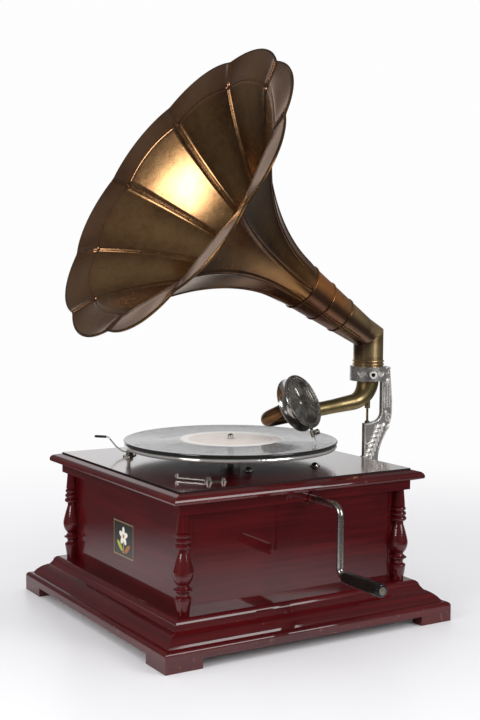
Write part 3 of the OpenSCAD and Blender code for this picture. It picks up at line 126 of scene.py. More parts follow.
class Value:
    """A shader socket that takes part in plain arithmetic."""

    def __init__(self, finish, socket):
        self.finish = finish
        self.socket = socket

    def math(self, operation, *terms):
        return self.finish.node("ShaderNodeMath", {"operation": operation}, dict(enumerate(terms)))

    def __add__(self, other):
        return self.math("ADD", self, other)

    def __radd__(self, other):
        return self.math("ADD", other, self)

    def __sub__(self, other):
        return self.math("SUBTRACT", self, other)

    def __rsub__(self, other):
        return self.math("SUBTRACT", other, self)

    def __mul__(self, other):
        return self.math("MULTIPLY", self, other)

    def __rmul__(self, other):
        return self.math("MULTIPLY", other, self)

    def __truediv__(self, other):
        return self.math("DIVIDE", self, other)

    def __rtruediv__(self, other):
        return self.math("DIVIDE", other, self)

    def __abs__(self):
        return self.math("ABSOLUTE", self)

    def __gt__(self, other):
        return self.math("GREATER_THAN", self, other)

    def __lt__(self, other):
        return self.math("LESS_THAN", self, other)

    def most(self, other):
        return self.math("MAXIMUM", self, other)

    def least(self, other):
        return self.math("MINIMUM", self, other)

    def root(self):
        return self.math("SQRT", self)

    def between(self, low, high):
        """0 below low, 1 above high, smooth between; low may be the larger."""
        return self.finish.node("ShaderNodeMapRange", {"interpolation_type": "SMOOTHSTEP"},
                                {"Value": self, "From Min": low, "From Max": high})


class Finish:
    """A material, its shader and the nodes that feed it."""

    def __init__(self, name, fixed=()):
        self.material = bpy.data.materials.new(name)
        self.material.use_nodes = True
        self.tree = self.material.node_tree
        self.shader = self.tree.nodes["Principled BSDF"]
        self.set(dict(fixed))

    def put(self, socket, value):
        if isinstance(value, Value):
            self.tree.links.new(value.socket, socket)
        else:
            socket.default_value = value

    def set(self, inputs):
        for name, value in inputs.items():
            self.put(self.shader.inputs[name], value)

    def node(self, kind, settings=(), inputs=(), output=0):
        """Any node: its type, its settings, its sockets' values or links, and the output to use."""
        made = self.tree.nodes.new(kind)
        for name, value in dict(settings).items():
            if name == "stops":
                ramp = made.color_ramp.elements
                while len(ramp) < len(value):
                    ramp.new(1)
                for stop, (at, colour) in zip(ramp, value):
                    stop.position = at
                    stop.color = colour
            else:
                setattr(made, name, value)
        for name, value in dict(inputs).items():
            self.put(made.inputs[name], value)
        return Value(self, made.outputs[output])

    def place(self, centre=(0, 0, 0), turn=(0, 0, 0), stretch=(1, 1, 1)):
        """Object coordinates in millimetres from a point, turned, and drawn out along each axis."""
        spot = self.node("ShaderNodeTexCoord", output=3)
        return self.node("ShaderNodeMapping", {"vector_type": "TEXTURE"}, {
            "Vector": spot, "Location": tuple(row(centre)), "Rotation": turn,
            "Scale": tuple(s / 1000 for s in stretch)})

    def parts(self, vector):
        return [self.node("ShaderNodeSeparateXYZ", (), {0: vector}, i) for i in range(3)]

    def noise(self, vector, scale, detail=3.0, rough=0.55, twist=0.0):
        return self.node("ShaderNodeTexNoise", (), {
            "Vector": vector, "Scale": scale, "Detail": detail, "Roughness": rough, "Distortion": twist})

    def mix(self, share, first, second):
        return self.node("ShaderNodeMix", {"data_type": "RGBA"}, {0: share, 6: first, 7: second}, 2)

    def ramp(self, value, *stops):
        return self.node("ShaderNodeValToRGB", {"stops": stops}, {0: value})

    def bump(self, height, depth):
        """Height runs from 0 to 1; depth is what that means in millimetres."""
        return self.node("ShaderNodeBump", (), {"Height": height, "Distance": depth / 1000, "Strength": 1.0})


def lacquered(name, along, soft=False, decal=False):
    """Dark red lacquer over wood; along is the grain's run: x, y, z, or frame for four mitred sides.

    soft gives the wider shine of the motor board, and decal sets the card on the front.
    """
    coat_rough, under, rough = (0.1, 0.5, 0.12) if soft else (0.04, 0.06, 0.3)
    f = Finish(name, {"Coat Roughness": coat_rough, "Coat IOR": 1.5, "IOR": 1.5, "Specular IOR Level": under})
    here = f.place()
    x, y, z = f.parts(here)

    def grain(stretch):
        run = f.place(stretch=stretch)
        return f.noise(run, 0.22, 4, 0.6, 0.3), f.noise(run, 1.3, 2, 0.7)

    runs = {"x": (45, 1, 1), "y": (1, 45, 1), "z": (1, 1, 40)}
    if along == "frame":
        side = abs(x) > abs(y)
        (wide_x, fine_x), (wide_y, fine_y) = grain(runs["x"]), grain(runs["y"])
        wide = side * wide_y + (1 - side) * wide_x
        fine = side * fine_y + (1 - side) * fine_x
    else:
        wide, fine = grain(runs[along])
    cloud = f.noise(here, 0.012, 2)
    tone = f.ramp(0.55 * wide + 0.25 * fine + 0.25 * cloud, (0.33, rgb(50, 4, 8)), (0.5, rgb(66, 6, 10)),
                  (0.62, rgb(80, 10, 13)), (0.75, rgb(56, 5, 9)))
    out = abs(x).most(abs(y))
    speck = f.noise(here, 0.55, 4, 0.75).between(0.755, 0.785)
    edge = abs(out - MOULDING_AT).between(1.2, 0.2).most(abs(out - BASE_AT).between(1.2, 0.2))
    worn = (edge * f.noise(here, 0.16, 3, 0.7).between(0.6, 0.72) * 0.3 + speck * 0.4).least(0.7)
    # painted shade: the motor board's raised edge above the moulding is painted near black as a shadow line,
    # with no coat and a rougher face
    board_edge_shade = abs(out - TOP_AT).between(0.7, 0.3) * (z > BOARD_TOP - 2.4)
    tone = f.mix(worn, tone, rgb(150, 112, 98))
    if decal:
        tone = flower_card(f, x, z, tone)
    f.set({
        # the board's raised edge takes its painted shade here
        "Base Color": f.mix(board_edge_shade, tone, rgb(20, 8, 8)),
        "Roughness": rough + 0.12 * fine + 0.25 * worn + 0.4 * board_edge_shade,
        "Coat Weight": (0.9 - 0.6 * worn) * (1 - board_edge_shade),
        "Normal": f.bump(0.7 * fine + 0.5 * wide - speck, 0.05),
    })
    return f.material


def flower_card(f, x, z, ground):
    """A small printed card on the front: a pale five-petal flower with leaves in a gold-lined dark field."""
    u, w = x + 6, z - 93.5
    card = abs(u).between(26.2, 25.6) * abs(w).between(21.7, 21.1)
    lines = (abs(abs(u) - 24.4).between(0.7, 0.3) * abs(w).between(20.6, 20.2)).most(
        abs(abs(w) - 19.4).between(0.8, 0.4) * abs(u).between(25.0, 24.6))

    def spot(at, height, long, wide, turn):
        c, n = math.cos(turn), math.sin(turn)
        p, q = (u - at) * c + (w - height) * n, (w - height) * c - (u - at) * n
        return ((p / long) * (p / long) + (q / wide) * (q / wide)).between(1.15, 0.85)

    petals = spot(0, 9.2, 5.4, 3.2, math.pi / 2)
    for k in range(1, 5):
        a = math.pi / 2 + 2 * math.pi * k / 5
        petals = petals.most(spot(5.6 * math.cos(a), 3.6 + 5.6 * math.sin(a), 5.4, 3.2, a))
    stem = abs(u + (w + 10) * (w + 10) * 0.02).between(0.9, 0.5) * w.between(4, 3) * w.between(-17, -16)
    leaves = spot(-9, -8.5, 8.4, 2.9, 2.5).most(stem)
    second = spot(9.5, -10, 8.4, 2.9, 0.65)
    face = f.mix(lines, rgb(44, 42, 36), rgb(150, 112, 84))
    face = f.mix(leaves, face, rgb(176, 172, 62))
    face = f.mix(second, face, rgb(160, 94, 44))
    face = f.mix(petals, face, rgb(232, 228, 220))
    face = f.mix(spot(0, 3.6, 2.4, 2.4, 0), face, rgb(186, 118, 52))
    return f.mix(card, ground, face)


def bare_wood():
    """Unfinished boards inside the case, with the grain along x."""
    f = Finish("bare_wood", {"IOR": 1.4})
    run = f.place(stretch=(30, 1, 1))
    wide, fine = f.noise(run, 0.25, 4, 0.6, 0.4), f.noise(run, 1.6, 2)
    f.set({
        "Base Color": f.ramp(0.7 * wide + 0.3 * fine, (0.3, rgb(120, 82, 54)), (0.55, rgb(176, 132, 92)),
                             (0.75, rgb(140, 98, 64))),
        "Roughness": 0.6 + 0.2 * fine,
        "Normal": f.bump(fine, 0.15),
    })
    return f.material


def metal(name, light, dark, rough=0.22, cloud=0.02, wear=None, scratch=0.05, pit=0.4, bare=1.0):
    """Polished metal with a cloudy tarnish, fine scratches and a few darker pits."""
    f = Finish(name, {"Metallic": bare})
    here = f.place()
    stain = f.noise(here, cloud, 5, 0.62, 0.4)
    fine = f.noise(here, 0.35, 3, 0.6)
    lines = f.noise(f.place(turn=(0.5, 0.3, 0.9), stretch=(30, 1, 1)), 2.2, 2, 0.6).between(0.6, 0.72)
    pits = f.noise(here, 0.5, 3, 0.7).between(0.66, 0.74)
    tone = f.mix(stain.between(0.36, 0.66), light, dark)
    tone = f.mix(pits * pit, tone, wear or dark)
    f.set({
        "Base Color": f.mix(fine * 0.35, tone, dark),
        "Roughness": rough + 0.16 * stain.between(0.4, 0.7) + 0.08 * fine + 0.2 * pits * pit,
        "Normal": f.bump(fine - 0.4 * lines - pits * 0.5, scratch),
    })
    return f.material


def bronzed(name, inside):
    """Bronzed sheet: u runs from throat to rim and v across a petal."""
    f = Finish(name, {"Metallic": 1.0})
    u, v, _ = f.parts(f.node("ShaderNodeUVMap"))
    here = f.place()
    cloud = f.noise(here, 0.014, 4, 0.6, 0.5)
    spots = f.noise(here, 0.11, 5, 0.68, 0.6)
    fine = f.noise(here, 0.5, 3, 0.7)
    middle = (abs(v - 0.5) * 2).between(1.0, 0.1)
    if inside:
        deep, mid, pale = rgb(122, 88, 62), rgb(166, 126, 86), rgb(196, 154, 106)
    else:
        deep, mid, pale = rgb(108, 80, 60), rgb(150, 112, 76), rgb(178, 136, 90)
    tone = f.ramp(0.5 * cloud + 0.35 * spots + 0.2 * middle, (0.36, deep), (0.52, mid), (0.70, pale))
    tone = f.mix(u.between(0.42, 0.0) * 0.6, tone, rgb(150, 104, 62))
    # painted reflection: the rim band past the crease is tinted purple-brown
    tone = f.mix(u.between(0.9, 0.97) * 0.6, tone, rgb(154, 112, 88))
    dirt = spots.between(0.58, 0.72) * 0.4
    f.set({
        "Base Color": f.mix(dirt, tone, rgb(74, 56, 42)),
        "Roughness": 0.17 + 0.1 * spots + 0.14 * dirt,
        "Normal": f.bump(0.7 * cloud + 0.2 * spots + 0.05 * fine, 0.12),
    })
    return f.material


def neck_sheet():
    """Bronzed sheet of neck and elbow: copper by the bell, olive gold by the elbow, darker and rougher at the
    rings, and painted shade on its underside in a darker purple-brown.
    """
    f = Finish("neck_sheet", {"Metallic": 1.0})
    here = f.place()
    _, y, z = f.parts(here)
    along = (y - ELBOW[1]) * HORN_AXIS[1] + (z - ELBOW[2]) * HORN_AXIS[2]
    cloud, spots = f.noise(here, 0.03, 4, 0.6, 0.4), f.noise(here, 0.2, 4, 0.65)
    tone = f.mix(along.between(30, 80), rgb(224, 194, 144), rgb(238, 160, 94))
    tone = f.mix(cloud.between(0.46, 0.7) * 0.6, tone, rgb(140, 106, 82))
    # painted shade: the neck's side below its axis is painted a darker purple-brown
    over = (y - ELBOW[1]) * HORN_UP[1] + (z - ELBOW[2]) * HORN_UP[2]
    tone = f.mix(over.between(11, -3) * (along.between(-4, 8) * 0.9), tone, rgb(100, 74, 62))
    grime = abs(along - NECK_RINGS[0]).between(5, 0.6)
    for ring in NECK_RINGS[1:]:
        grime = grime.most(abs(along - ring).between(5, 0.6))
    grime = (grime * spots.between(0.3, 0.7)).most(spots.between(0.6, 0.74)) * 0.55
    f.set({
        "Base Color": f.mix(grime, tone, rgb(70, 52, 40)),
        "Roughness": 0.25 + 0.08 * spots + 0.15 * grime,
        "Normal": f.bump(0.6 * cloud + 0.4 * spots, 0.08),
    })
    return f.material


def shellac():
    """The record's black grooves, its plain rim and the run-out round the label."""
    f = Finish("shellac", {"IOR": 1.55, "Specular IOR Level": 1.0, "Coat Roughness": 0.05, "Coat IOR": 1.55})
    here = f.place((0, 0, RECORD_TOP))
    x, y, _ = f.parts(here)
    out = (x * x + y * y).root()
    band = out.between(63, 65) * out.between(125.0, 123.6)
    groups = f.node("ShaderNodeTexNoise", {"noise_dimensions": "1D"}, {"W": out, "Scale": 0.35, "Detail": 3})
    dust = f.noise(here, 0.05, 5, 0.7).between(0.5, 0.75)
    # the grooves' walls lean to and from the middle, finer than a picture can show
    chance = f.node("ShaderNodeTexWhiteNoise", (), {"Vector": here})
    lean = (chance - 0.5) * band / out
    wall = f.node("ShaderNodeCombineXYZ", (), {0: x * lean, 1: y * lean, 2: 0.0})
    wall = f.node("ShaderNodeVectorTransform", {"convert_from": "OBJECT", "convert_to": "WORLD"}, {0: wall})
    level = f.node("ShaderNodeNewGeometry", output="Normal")
    tipped = f.node("ShaderNodeVectorMath", {"operation": "ADD"}, {0: level, 1: wall})
    f.set({
        "Base Color": f.mix(0.35 * dust + 0.25 * groups, rgb(20, 19, 20), rgb(46, 43, 44)),
        "Roughness": 0.10 + 0.08 * groups + 0.12 * dust,
        "Coat Weight": 0.45 * (1 - 0.5 * dust),
        "Normal": f.node("ShaderNodeVectorMath", {"operation": "NORMALIZE"}, {0: tipped}),
    })
    return f.material


def label_paper():
    """A plain pale label: a white border, thin printed rings and a worn middle."""
    f = Finish("label_paper", {"IOR": 1.4, "Coat Weight": 0.35, "Coat Roughness": 0.3})
    here = f.place((0, 0, RECORD_TOP))
    x, y, _ = f.parts(here)
    out = (x * x + y * y).root()
    ring = abs(out - 49.5).between(0.8, 0.2).most(abs(out - 42).between(0.6, 0.15)).most(
        abs(out - 17).between(0.6, 0.15))
    mark = f.noise(here, 0.06, 4, 0.65)
    fibre = f.noise(here, 1.1, 3, 0.7)
    worn = out.between(9, 3)
    tone = f.ramp(0.7 * mark + 0.3 * fibre, (0.3, rgb(232, 220, 211)), (0.55, rgb(246, 236, 229)),
                  (0.75, rgb(240, 229, 223)))
    tone = f.mix(out.between(49.4, 50) * 0.85, tone, rgb(255, 253, 250))
    f.set({
        "Base Color": f.mix((ring * 0.2).most(worn * 0.35), tone, rgb(150, 118, 110)),
        "Roughness": 0.55 + 0.2 * fibre,
        "Normal": f.bump(fibre, 0.05),
    })
    return f.material


def platter_metal():
    """A platter with a plated rim and dark beneath; the rim's roll has a painted reflection, dark above and
    below its middle, so it shows bright only along its middle.
    """
    f = Finish("platter_metal")
    here = f.place()
    x, y, z = f.parts(here)
    rim = (x * x + y * y).root().between(120.6, 121.4) * z.between(191.2, 191.6)
    mark, fine = f.noise(here, 0.05, 4), f.noise(here, 0.6, 3)
    plate = f.mix(mark, rgb(246, 245, 243), rgb(216, 213, 208))
    # painted reflection: the plated roll is painted dark above and below its middle, so only its middle shows
    # bright
    height = z - RIM_MIDDLE
    roll_shade = height.between(0.5, 2.6).most(height.between(-1.6, -3.2)) * 0.85
    plate = f.mix(roll_shade, plate, rgb(58, 55, 52))
    f.set({
        "Base Color": f.mix(rim, f.mix(mark, rgb(28, 26, 25), rgb(46, 42, 40)), plate),
        "Metallic": 0.75 * rim,
        "Roughness": 0.5 - 0.4 * rim + 0.06 * fine,
        "Normal": f.bump(fine, 0.03),
    })
    return f.material


def felt():
    """Dark green felt with a short nap."""
    f = Finish("felt", {"Sheen Weight": 0.3, "IOR": 1.3})
    here = f.place()
    nap, clump = f.noise(here, 1.8, 3, 0.8), f.noise(here, 0.12, 3)
    f.set({
        "Base Color": f.mix(0.5 * nap + 0.5 * clump, rgb(24, 30, 26), rgb(48, 54, 46)),
        "Roughness": 0.85 + 0.1 * nap,
        "Normal": f.bump(nap, 0.4),
    })
    return f.material


def black_gloss(name, tone, rough, shine=0.5):
    """Black rubber, enamel or a turned and polished grip."""
    f = Finish(name, {"IOR": 1.45, "Coat Roughness": 0.1, "Specular IOR Level": shine})
    here = f.place()
    mark, fine = f.noise(here, 0.08, 4, 0.6), f.noise(here, 0.8, 3, 0.7)
    worn = fine.between(0.62, 0.75)
    f.set({
        "Base Color": f.mix(0.4 * mark, tone, rgb(52, 46, 43)),
        "Roughness": rough + (0.05 + 0.3 * rough) * mark + 0.15 * worn,
        "Coat Weight": 0.25 - 0.2 * worn,
        "Normal": f.bump(fine + mark, 0.06),
    })
    return f.material


def mica():
    """The diaphragm's cloudy, flaky sheet."""
    f = Finish("mica", {"IOR": 1.56})
    here = f.place()
    flake = f.noise(here, 0.2, 4, 0.7)
    f.set({
        "Base Color": f.mix(flake, rgb(126, 120, 112), rgb(178, 170, 158)),
        "Roughness": 0.16 + 0.2 * flake,
        "Normal": f.bump(flake, 0.05),
    })
    return f.material


# Light and dark tone, roughness, scale of tarnish, wear's colour, depth of scratches, pits, share of metal
METALS = {
    "steel": (rgb(178, 176, 172), rgb(122, 118, 112), 0.3),
    "nickel": (rgb(206, 203, 198), rgb(150, 144, 136), 0.16, 0.03, rgb(96, 86, 74)),
    "cast_nickel": (rgb(240, 237, 233), rgb(200, 195, 189), 0.2, 0.035, rgb(98, 88, 78), 0.08, 0.4, 0.6),
    "dull_nickel": (rgb(196, 193, 190), rgb(136, 132, 128), 0.24, 0.035, rgb(80, 72, 66), 0.1, 0.5, 0.78),
    "bright_nickel": (rgb(250, 248, 245), rgb(228, 224, 219), 0.25, 0.05, rgb(150, 142, 132), 0.04, 0.3, 0.4),
    "satin_nickel": (rgb(246, 244, 240), rgb(206, 202, 197), 0.16, 0.05, rgb(120, 112, 104), 0.03, 0.3, 0.7),
    "relief_nickel": (rgb(172, 168, 162), rgb(84, 80, 75), 0.18, 0.05, rgb(44, 40, 36), 0.04, 0.5, 0.9),
    "chrome": (rgb(222, 221, 219), rgb(188, 185, 180), 0.09, 0.03, rgb(110, 104, 96), 0.02),
    "dark_nickel": (rgb(120, 117, 112), rgb(74, 70, 66), 0.26, 0.05, rgb(44, 40, 36)),
    "arm_brass": (rgb(176, 158, 116), rgb(134, 116, 80), 0.24, 0.025, rgb(96, 76, 48), 0.004),
    "brass": (rgb(186, 152, 104), rgb(122, 92, 58), 0.2, 0.025, rgb(70, 48, 30)),
    "old_brass": (rgb(150, 112, 76), rgb(92, 64, 42), 0.24, 0.03, rgb(52, 36, 24)),
    "rim_bronze": (rgb(158, 116, 72), rgb(96, 70, 46), 0.22, 0.02, rgb(66, 46, 34)),
}
finish = {
    "lacquer_x": lacquered("lacquer_x", "x"),
    "lacquer_front": lacquered("lacquer_front", "x", decal=True),
    "lacquer_board": lacquered("lacquer_board", "x", soft=True),
    "lacquer_y": lacquered("lacquer_y", "y"),
    "lacquer_z": lacquered("lacquer_z", "z"),
    "lacquer_frame": lacquered("lacquer_frame", "frame"),
    "bare_wood": bare_wood(),
    "bronze_in": bronzed("bronze_in", True),
    "bronze_out": bronzed("bronze_out", False),
    "neck_sheet": neck_sheet(),
    "platter_metal": platter_metal(),
    "shellac": shellac(),
    "label_paper": label_paper(),
    "felt": felt(),
    "rubber": black_gloss("rubber", rgb(30, 27, 25), 0.5),
    "enamel": black_gloss("enamel", rgb(16, 15, 15), 0.25),
    "grip": black_gloss("grip", rgb(12, 10, 10), 0.04, 0.15),
    "mica": mica(),
    **{name: metal(name, *given) for name, given in METALS.items()},
}

# Finishes of the CAD nodes: some by name, the rest by the record's material slot
FINISHED = {
    "lacquer_frame": "base_rails corner_feet frieze_rails top_moulding",
    "lacquer_x": "panel_rear",
    "lacquer_front": "panel_front",
    "lacquer_board": "motor_board",
    "lacquer_y": "panel_right panel_left crank_bush",
    "lacquer_z": "corner_columns",
    "bare_wood": "bottom_board corner_posts",
    "dull_nickel": "back_bracket",
    "chrome": "spindle",
    "platter_metal": "platter",
}
OF_SLOT = {"lacquered_wood": "lacquer_x", "plain_wood": "bare_wood", "steel": "steel", "nickel": "nickel",
           "dark_nickel": "dark_nickel", "brass": "brass", "bronzed_sheet": "neck_sheet", "rubber": "rubber",
           "black_enamel": "enamel", "black_grip": "grip", "shellac": "shellac", "felt": "felt",
           "paper": "label_paper", "mica": "mica"}
look_of = {entry["node"]: OF_SLOT[entry["material_slot"]] for entry in frame["record"]["subparts"]}
look_of.update({member: look for look, members in FINISHED.items() for member in members.split()})
for member, look in look_of.items():
    node[member].data.materials.clear()
    node[member].data.materials.append(finish[look])


# Mesh pieces


def piece(name, points, faces, look, body, slot, stands_for=(), uv=None, sharp=40, turn=True):
    """A mesh piece at its place, riding on a body.

    uv is one pair for each point, sharp an edge's least angle in degrees, and turn points faces outwards.
    """
    mesh = bpy.data.meshes.new(name)
    mesh.from_pydata([tuple(p) for p in row(points)], [], [tuple(f) for f in faces])
    if uv is not None:
        layer = mesh.uv_layers.new(name="UVMap")
        for loop in mesh.loops:
            layer.data[loop.index].uv = uv[loop.vertex_index]
    if turn:
        form = bmesh.new()
        form.from_mesh(mesh)
        bmesh.ops.recalc_face_normals(form, faces=form.faces)
        form.to_mesh(mesh)
        form.free()
    mesh.materials.append(finish[look])
    mesh.shade_smooth()
    mesh.set_sharp_from_angle(angle=math.radians(sharp))
    made = bpy.data.objects.new(name, mesh)
    scene.collection.objects.link(made)
    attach(made, body)
    if stands_for:
        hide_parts(*stands_for)
    return made


def grid_faces(rows, columns, round_rows=False, round_columns=True):
    """Quads over a grid of points, closed round its columns or its rows where asked."""
    faces = []
    for i in range(rows if round_rows else rows - 1):
        for j in range(columns if round_columns else columns - 1):
            a, b = i, (i + 1) % rows
            c, d = j, (j + 1) % columns
            faces.append([a * columns + c, b * columns + c, b * columns + d, a * columns + d])
    return faces


def across(direction):
    """Two directions square to one."""
    first = unit(np.cross(direction, (0.13, 0.21, 1.0)))
    return first, np.cross(direction, first)


def sweep(path, radii, sides=32, hint=(1.0, 0.02, 0.03)):
    """A round closed tube along a path, with a radius at each point; hint is a way across its start."""
    path = np.asarray(path, float)
    runs = np.gradient(path, axis=0)
    points, last = [], np.asarray(hint, float)
    turns = np.linspace(0, 2 * math.pi, sides, endpoint=False)
    for at, run, r in zip(path, runs, radii):
        run = unit(run)
        first = unit(last - (last @ run) * run)
        second = np.cross(run, first)
        last = first
        points += [at + r * (math.cos(a) * first + math.sin(a) * second) for a in turns]
    ends = [list(range(sides)), [(len(path) - 1) * sides + j for j in range(sides)]]
    return points, grid_faces(len(path), sides) + ends


def lathe(profile, at, axis, sides=96, round_profile=False):
    """A turned form: (radius, height) pairs about an axis through a point."""
    axis = unit(axis)
    first, second = across(axis)
    turns = np.linspace(0, 2 * math.pi, sides, endpoint=False)
    points = []
    for r, h in profile:
        middle = np.asarray(at) + h * axis
        points += [middle + r * (math.cos(a) * first + math.sin(a) * second) for a in turns]
    return points, grid_faces(len(profile), sides, round_rows=round_profile)


def joined(*forms):
    """Several (points, faces) forms as one."""
    points, faces = [], []
    for p, f in forms:
        faces += [[i + len(points) for i in face] for face in f]
        points += list(p)
    return points, faces


def arc(centre, r, a0, a1, steps):
    """(radius, height) points of a rounded edge, angles in degrees."""
    return [(centre[0] + r * math.cos(math.radians(a)), centre[1] + r * math.sin(math.radians(a)))
            for a in np.linspace(a0, a1, steps)]


# Horn bell: ten petals with folded seams, a crease, and a rolled rim


def bell_radius(t):
    """Radius at a distance along the bell: a flare to the crease, then a straight rim."""
    t = np.asarray(t, float)
    flare = NECK_R + BELL_ENTRY * t + BELL_GROWTH * np.clip(t / BELL_L, 0, 1) ** BELL_POWER
    return np.where(t <= BELL_L, flare, BELL_R + (RIM_R - BELL_R) * (t - BELL_L) / RIM_L)


def bell_lean(t):
    """Angle of the sheet from the horn's axis at a distance along the bell."""
    t = np.asarray(t, float)
    slope = BELL_ENTRY + BELL_GROWTH * BELL_POWER / BELL_L * np.clip(t / BELL_L, 0, 1) ** (BELL_POWER - 1)
    return np.arctan(np.where(t <= BELL_L, slope, (RIM_R - BELL_R) / RIM_L))


# Across a seam, from its middle: millimetres out, and how far the folded edge stands up
SEAM = ((0.0, 0.1), (0.8, 0.1), (1.15, 0.7), (1.55, 1.0), (1.95, 0.95), (2.3, 0.6), (2.7, 0.0))
runs_along = np.concatenate([np.linspace(0, BELL_L - 6, 54), BELL_L + np.array(
    [-4.0, -2.8, -2.0, -1.4, -0.8, -0.3, 0.3, 0.8, 1.4, 2.0, 3.2, 6.0, 9.0, 11.0])])


def petal_columns(r):
    """Places across one petal, 0 to 1, and how far each stands up on the seam's folded edges."""
    petal = 2 * math.pi / PETALS * r
    near = [d * min(1, 0.16 * petal / SEAM[-1][0]) / petal for d, _ in SEAM]
    flat = np.linspace(near[-1], 1 - near[-1], 15)[1:-1]
    places = near + list(flat) + [1 - p for p in near[:0:-1]]
    rise = [h for _, h in SEAM] + [0] * len(flat) + [h for _, h in SEAM[:0:-1]]
    return places, rise


def petal_place(t, w):
    """Distance along the axis and radius of a place on a petal, which is nearly flat between its seams."""
    bow = 1 - (2 * w - 1) ** 2
    if t <= BELL_L:
        u = t / BELL_L
        swell, lead = -PETAL_FLAT * min(1, u / 0.2) * (1 - u ** 6), CREASE_LEAD * u ** 4
    else:
        u = (t - BELL_L) / RIM_L
        swell, lead = SCALLOP / RIM_R * u, CREASE_LEAD * (1 - u)
    return t + lead * bow, float(bell_radius(t)) * (1 + swell * bow)


def bell_surface(offset):
    """Grid of points at an offset from the sheet's outer face, along the outward normal."""
    points, marks = [], []
    crease = np.exp(-((runs_along - BELL_L) / 1.1) ** 2)
    lean = bell_lean(runs_along)
    lean[0] = 0
    for t, tilt, ridge in zip(runs_along, lean, crease):
        places, rise = petal_columns(float(bell_radius(t)))
        for k in range(PETALS):
            for w, up in zip(places, rise):
                along, r = petal_place(t, w)
                turn = PETAL_TURN + 2 * math.pi * (k + w) / PETALS
                out = math.cos(turn) * HORN_UP + math.sin(turn) * HORN_SIDE
                fade = min(1, t / 12)
                push = offset + (1 if offset >= 0 else -1) * up * fade
                push += ridge * (1.3 if offset < 0 else -0.8)
                points.append(ELBOW + (NECK_L + along - push * math.sin(tilt)) * HORN_AXIS
                              + (r + push * math.cos(tilt)) * out)
                marks.append((t / (BELL_L + RIM_L), w))
    return points, marks


for name, look, offset in (("bell_outside", "bronze_out", 0.0), ("bell_inside", "bronze_in", -BELL_WALL)):
    points, marks = bell_surface(offset)
    quads = grid_faces(len(runs_along), len(points) // len(runs_along))
    if name == "bell_inside":
        quads = [q[::-1] for q in quads]
    made = piece(name, points, quads, look, "horn", "bronzed_sheet", ["horn_petals"], uv=marks, sharp=70,
                 turn=False)
    # a petal's last column meets the next petal's first, so its share across runs on to 1
    layer = made.data.uv_layers["UVMap"]
    for poly in made.data.polygons:
        spots = [layer.data[i].uv for i in poly.loop_indices]
        if max(s[1] for s in spots) > 0.9 and min(s[1] for s in spots) < 0.05:
            for s in spots:
                if s[1] < 0.05:
                    s[1] = 1.0

rim_turns = np.linspace(0, 2 * math.pi, 240, endpoint=False)
rim_path = []
for a in rim_turns:
    w = ((a - PETAL_TURN) * PETALS / (2 * math.pi)) % 1
    along, r = petal_place(BELL_L + RIM_L, w)
    out = math.cos(a) * HORN_UP + math.sin(a) * HORN_SIDE
    rim_path.append((ELBOW + (NECK_L + along - 0.4) * HORN_AXIS + (r - 0.8) * out, out))
points = []
for at, out in rim_path:
    for b in np.linspace(0, 2 * math.pi, 10, endpoint=False):
        points.append(at + RIM_ROLL * (math.cos(b) * out + math.sin(b) * HORN_AXIS))
piece("bell_rim_roll", points, grid_faces(len(rim_path), 10, round_rows=True), "rim_bronze", "horn",
      "bronzed_sheet")

# Tone arm and gooseneck: smooth drawn tubes

arm_top, arm_bend, bend_z = 269.0, 28.0, 262.6
top_r, bend_r, slender_r = 14.4, 14.0, ARM_R + 1.6
arm_turn = math.pi / 2 - ARM_SLOPE
arm_points, arm_radii = [], []
for z in np.linspace(arm_top, bend_z + 0.4, 7):
    arm_points.append([0, PIVOT_Y, z])
    arm_radii.append(top_r)
for s in np.linspace(0, 1, 28):
    a = s * arm_turn
    arm_points.append([0, PIVOT_Y - arm_bend * (1 - math.cos(a)), bend_z - arm_bend * math.sin(a)])
    arm_radii.append(bend_r + (slender_r - bend_r) * (3 * s * s - 2 * s ** 3))
bend_end = np.array(arm_points[-1])
straight = np.linalg.norm(ARM_JOINT - bend_end)
for s in np.linspace(0.02, 1, 60):
    arm_points.append(list(bend_end + s * (ARM_JOINT - bend_end)))
    r = np.interp(s, [0, 0.3, 1], [slender_r, ARM_R + 0.4, ARM_R])
    left = (1 - s) * straight
    lift = np.clip(15.5 - left, 0, 1)
    arm_radii.append(r + (ARM_R + 0.5 - r) * lift + (0.5 if abs(left - 13.5) < 1.2 else 0))
tube = sweep(arm_points, arm_radii, 40)
boss = lathe([(1.6, 226), (3.2, 226), (3.5, 226.4), (3.5, 239.4), (1.6, 240)], PIVOT, UP, 40)
piece("tone_arm_tube", *joined(tube, boss), "arm_brass", "arm", "brass", ["tone_arm"], sharp=35)

hook_bend = 14.0
hook_side = unit(np.cross(ARM_DIR, BOX_Z))
hook_turn = math.acos(ARM_DIR @ BOX_Z)
hook_start = HOOK - hook_bend * math.tan(hook_turn / 2) * ARM_DIR
hook_up = np.cross(hook_side, ARM_DIR)
hook_centre = hook_start + hook_bend * hook_up
goose = [ARM_JOINT + s * (hook_start - ARM_JOINT) for s in np.linspace(0.01, 0.97, 10)]
goose += [hook_centre + hook_bend * (math.sin(a) * ARM_DIR - math.cos(a) * hook_up)
          for a in np.linspace(0, hook_turn, 34)]
neck_end = BOX_FACE - 18.5 * BOX_Z
goose += [goose[-1] + s * (neck_end - goose[-1]) for s in np.linspace(0.04, 1, 12)]
tube = sweep(goose, [ARM_R] * len(goose), 40, hook_side)
flange = [(6.5, -20), (11.6, -20), (12, -19.6), (12, -18.4), (11.6, -18), (6.5, -18)]
piece("gooseneck_tube", *joined(tube, lathe(flange, BOX_FACE, BOX_Z, 64)), "old_brass", "sound_box", "brass",
      ["gooseneck"], sharp=35)

# Turntable brake: bent wire with a black sleeve, on its flat arm

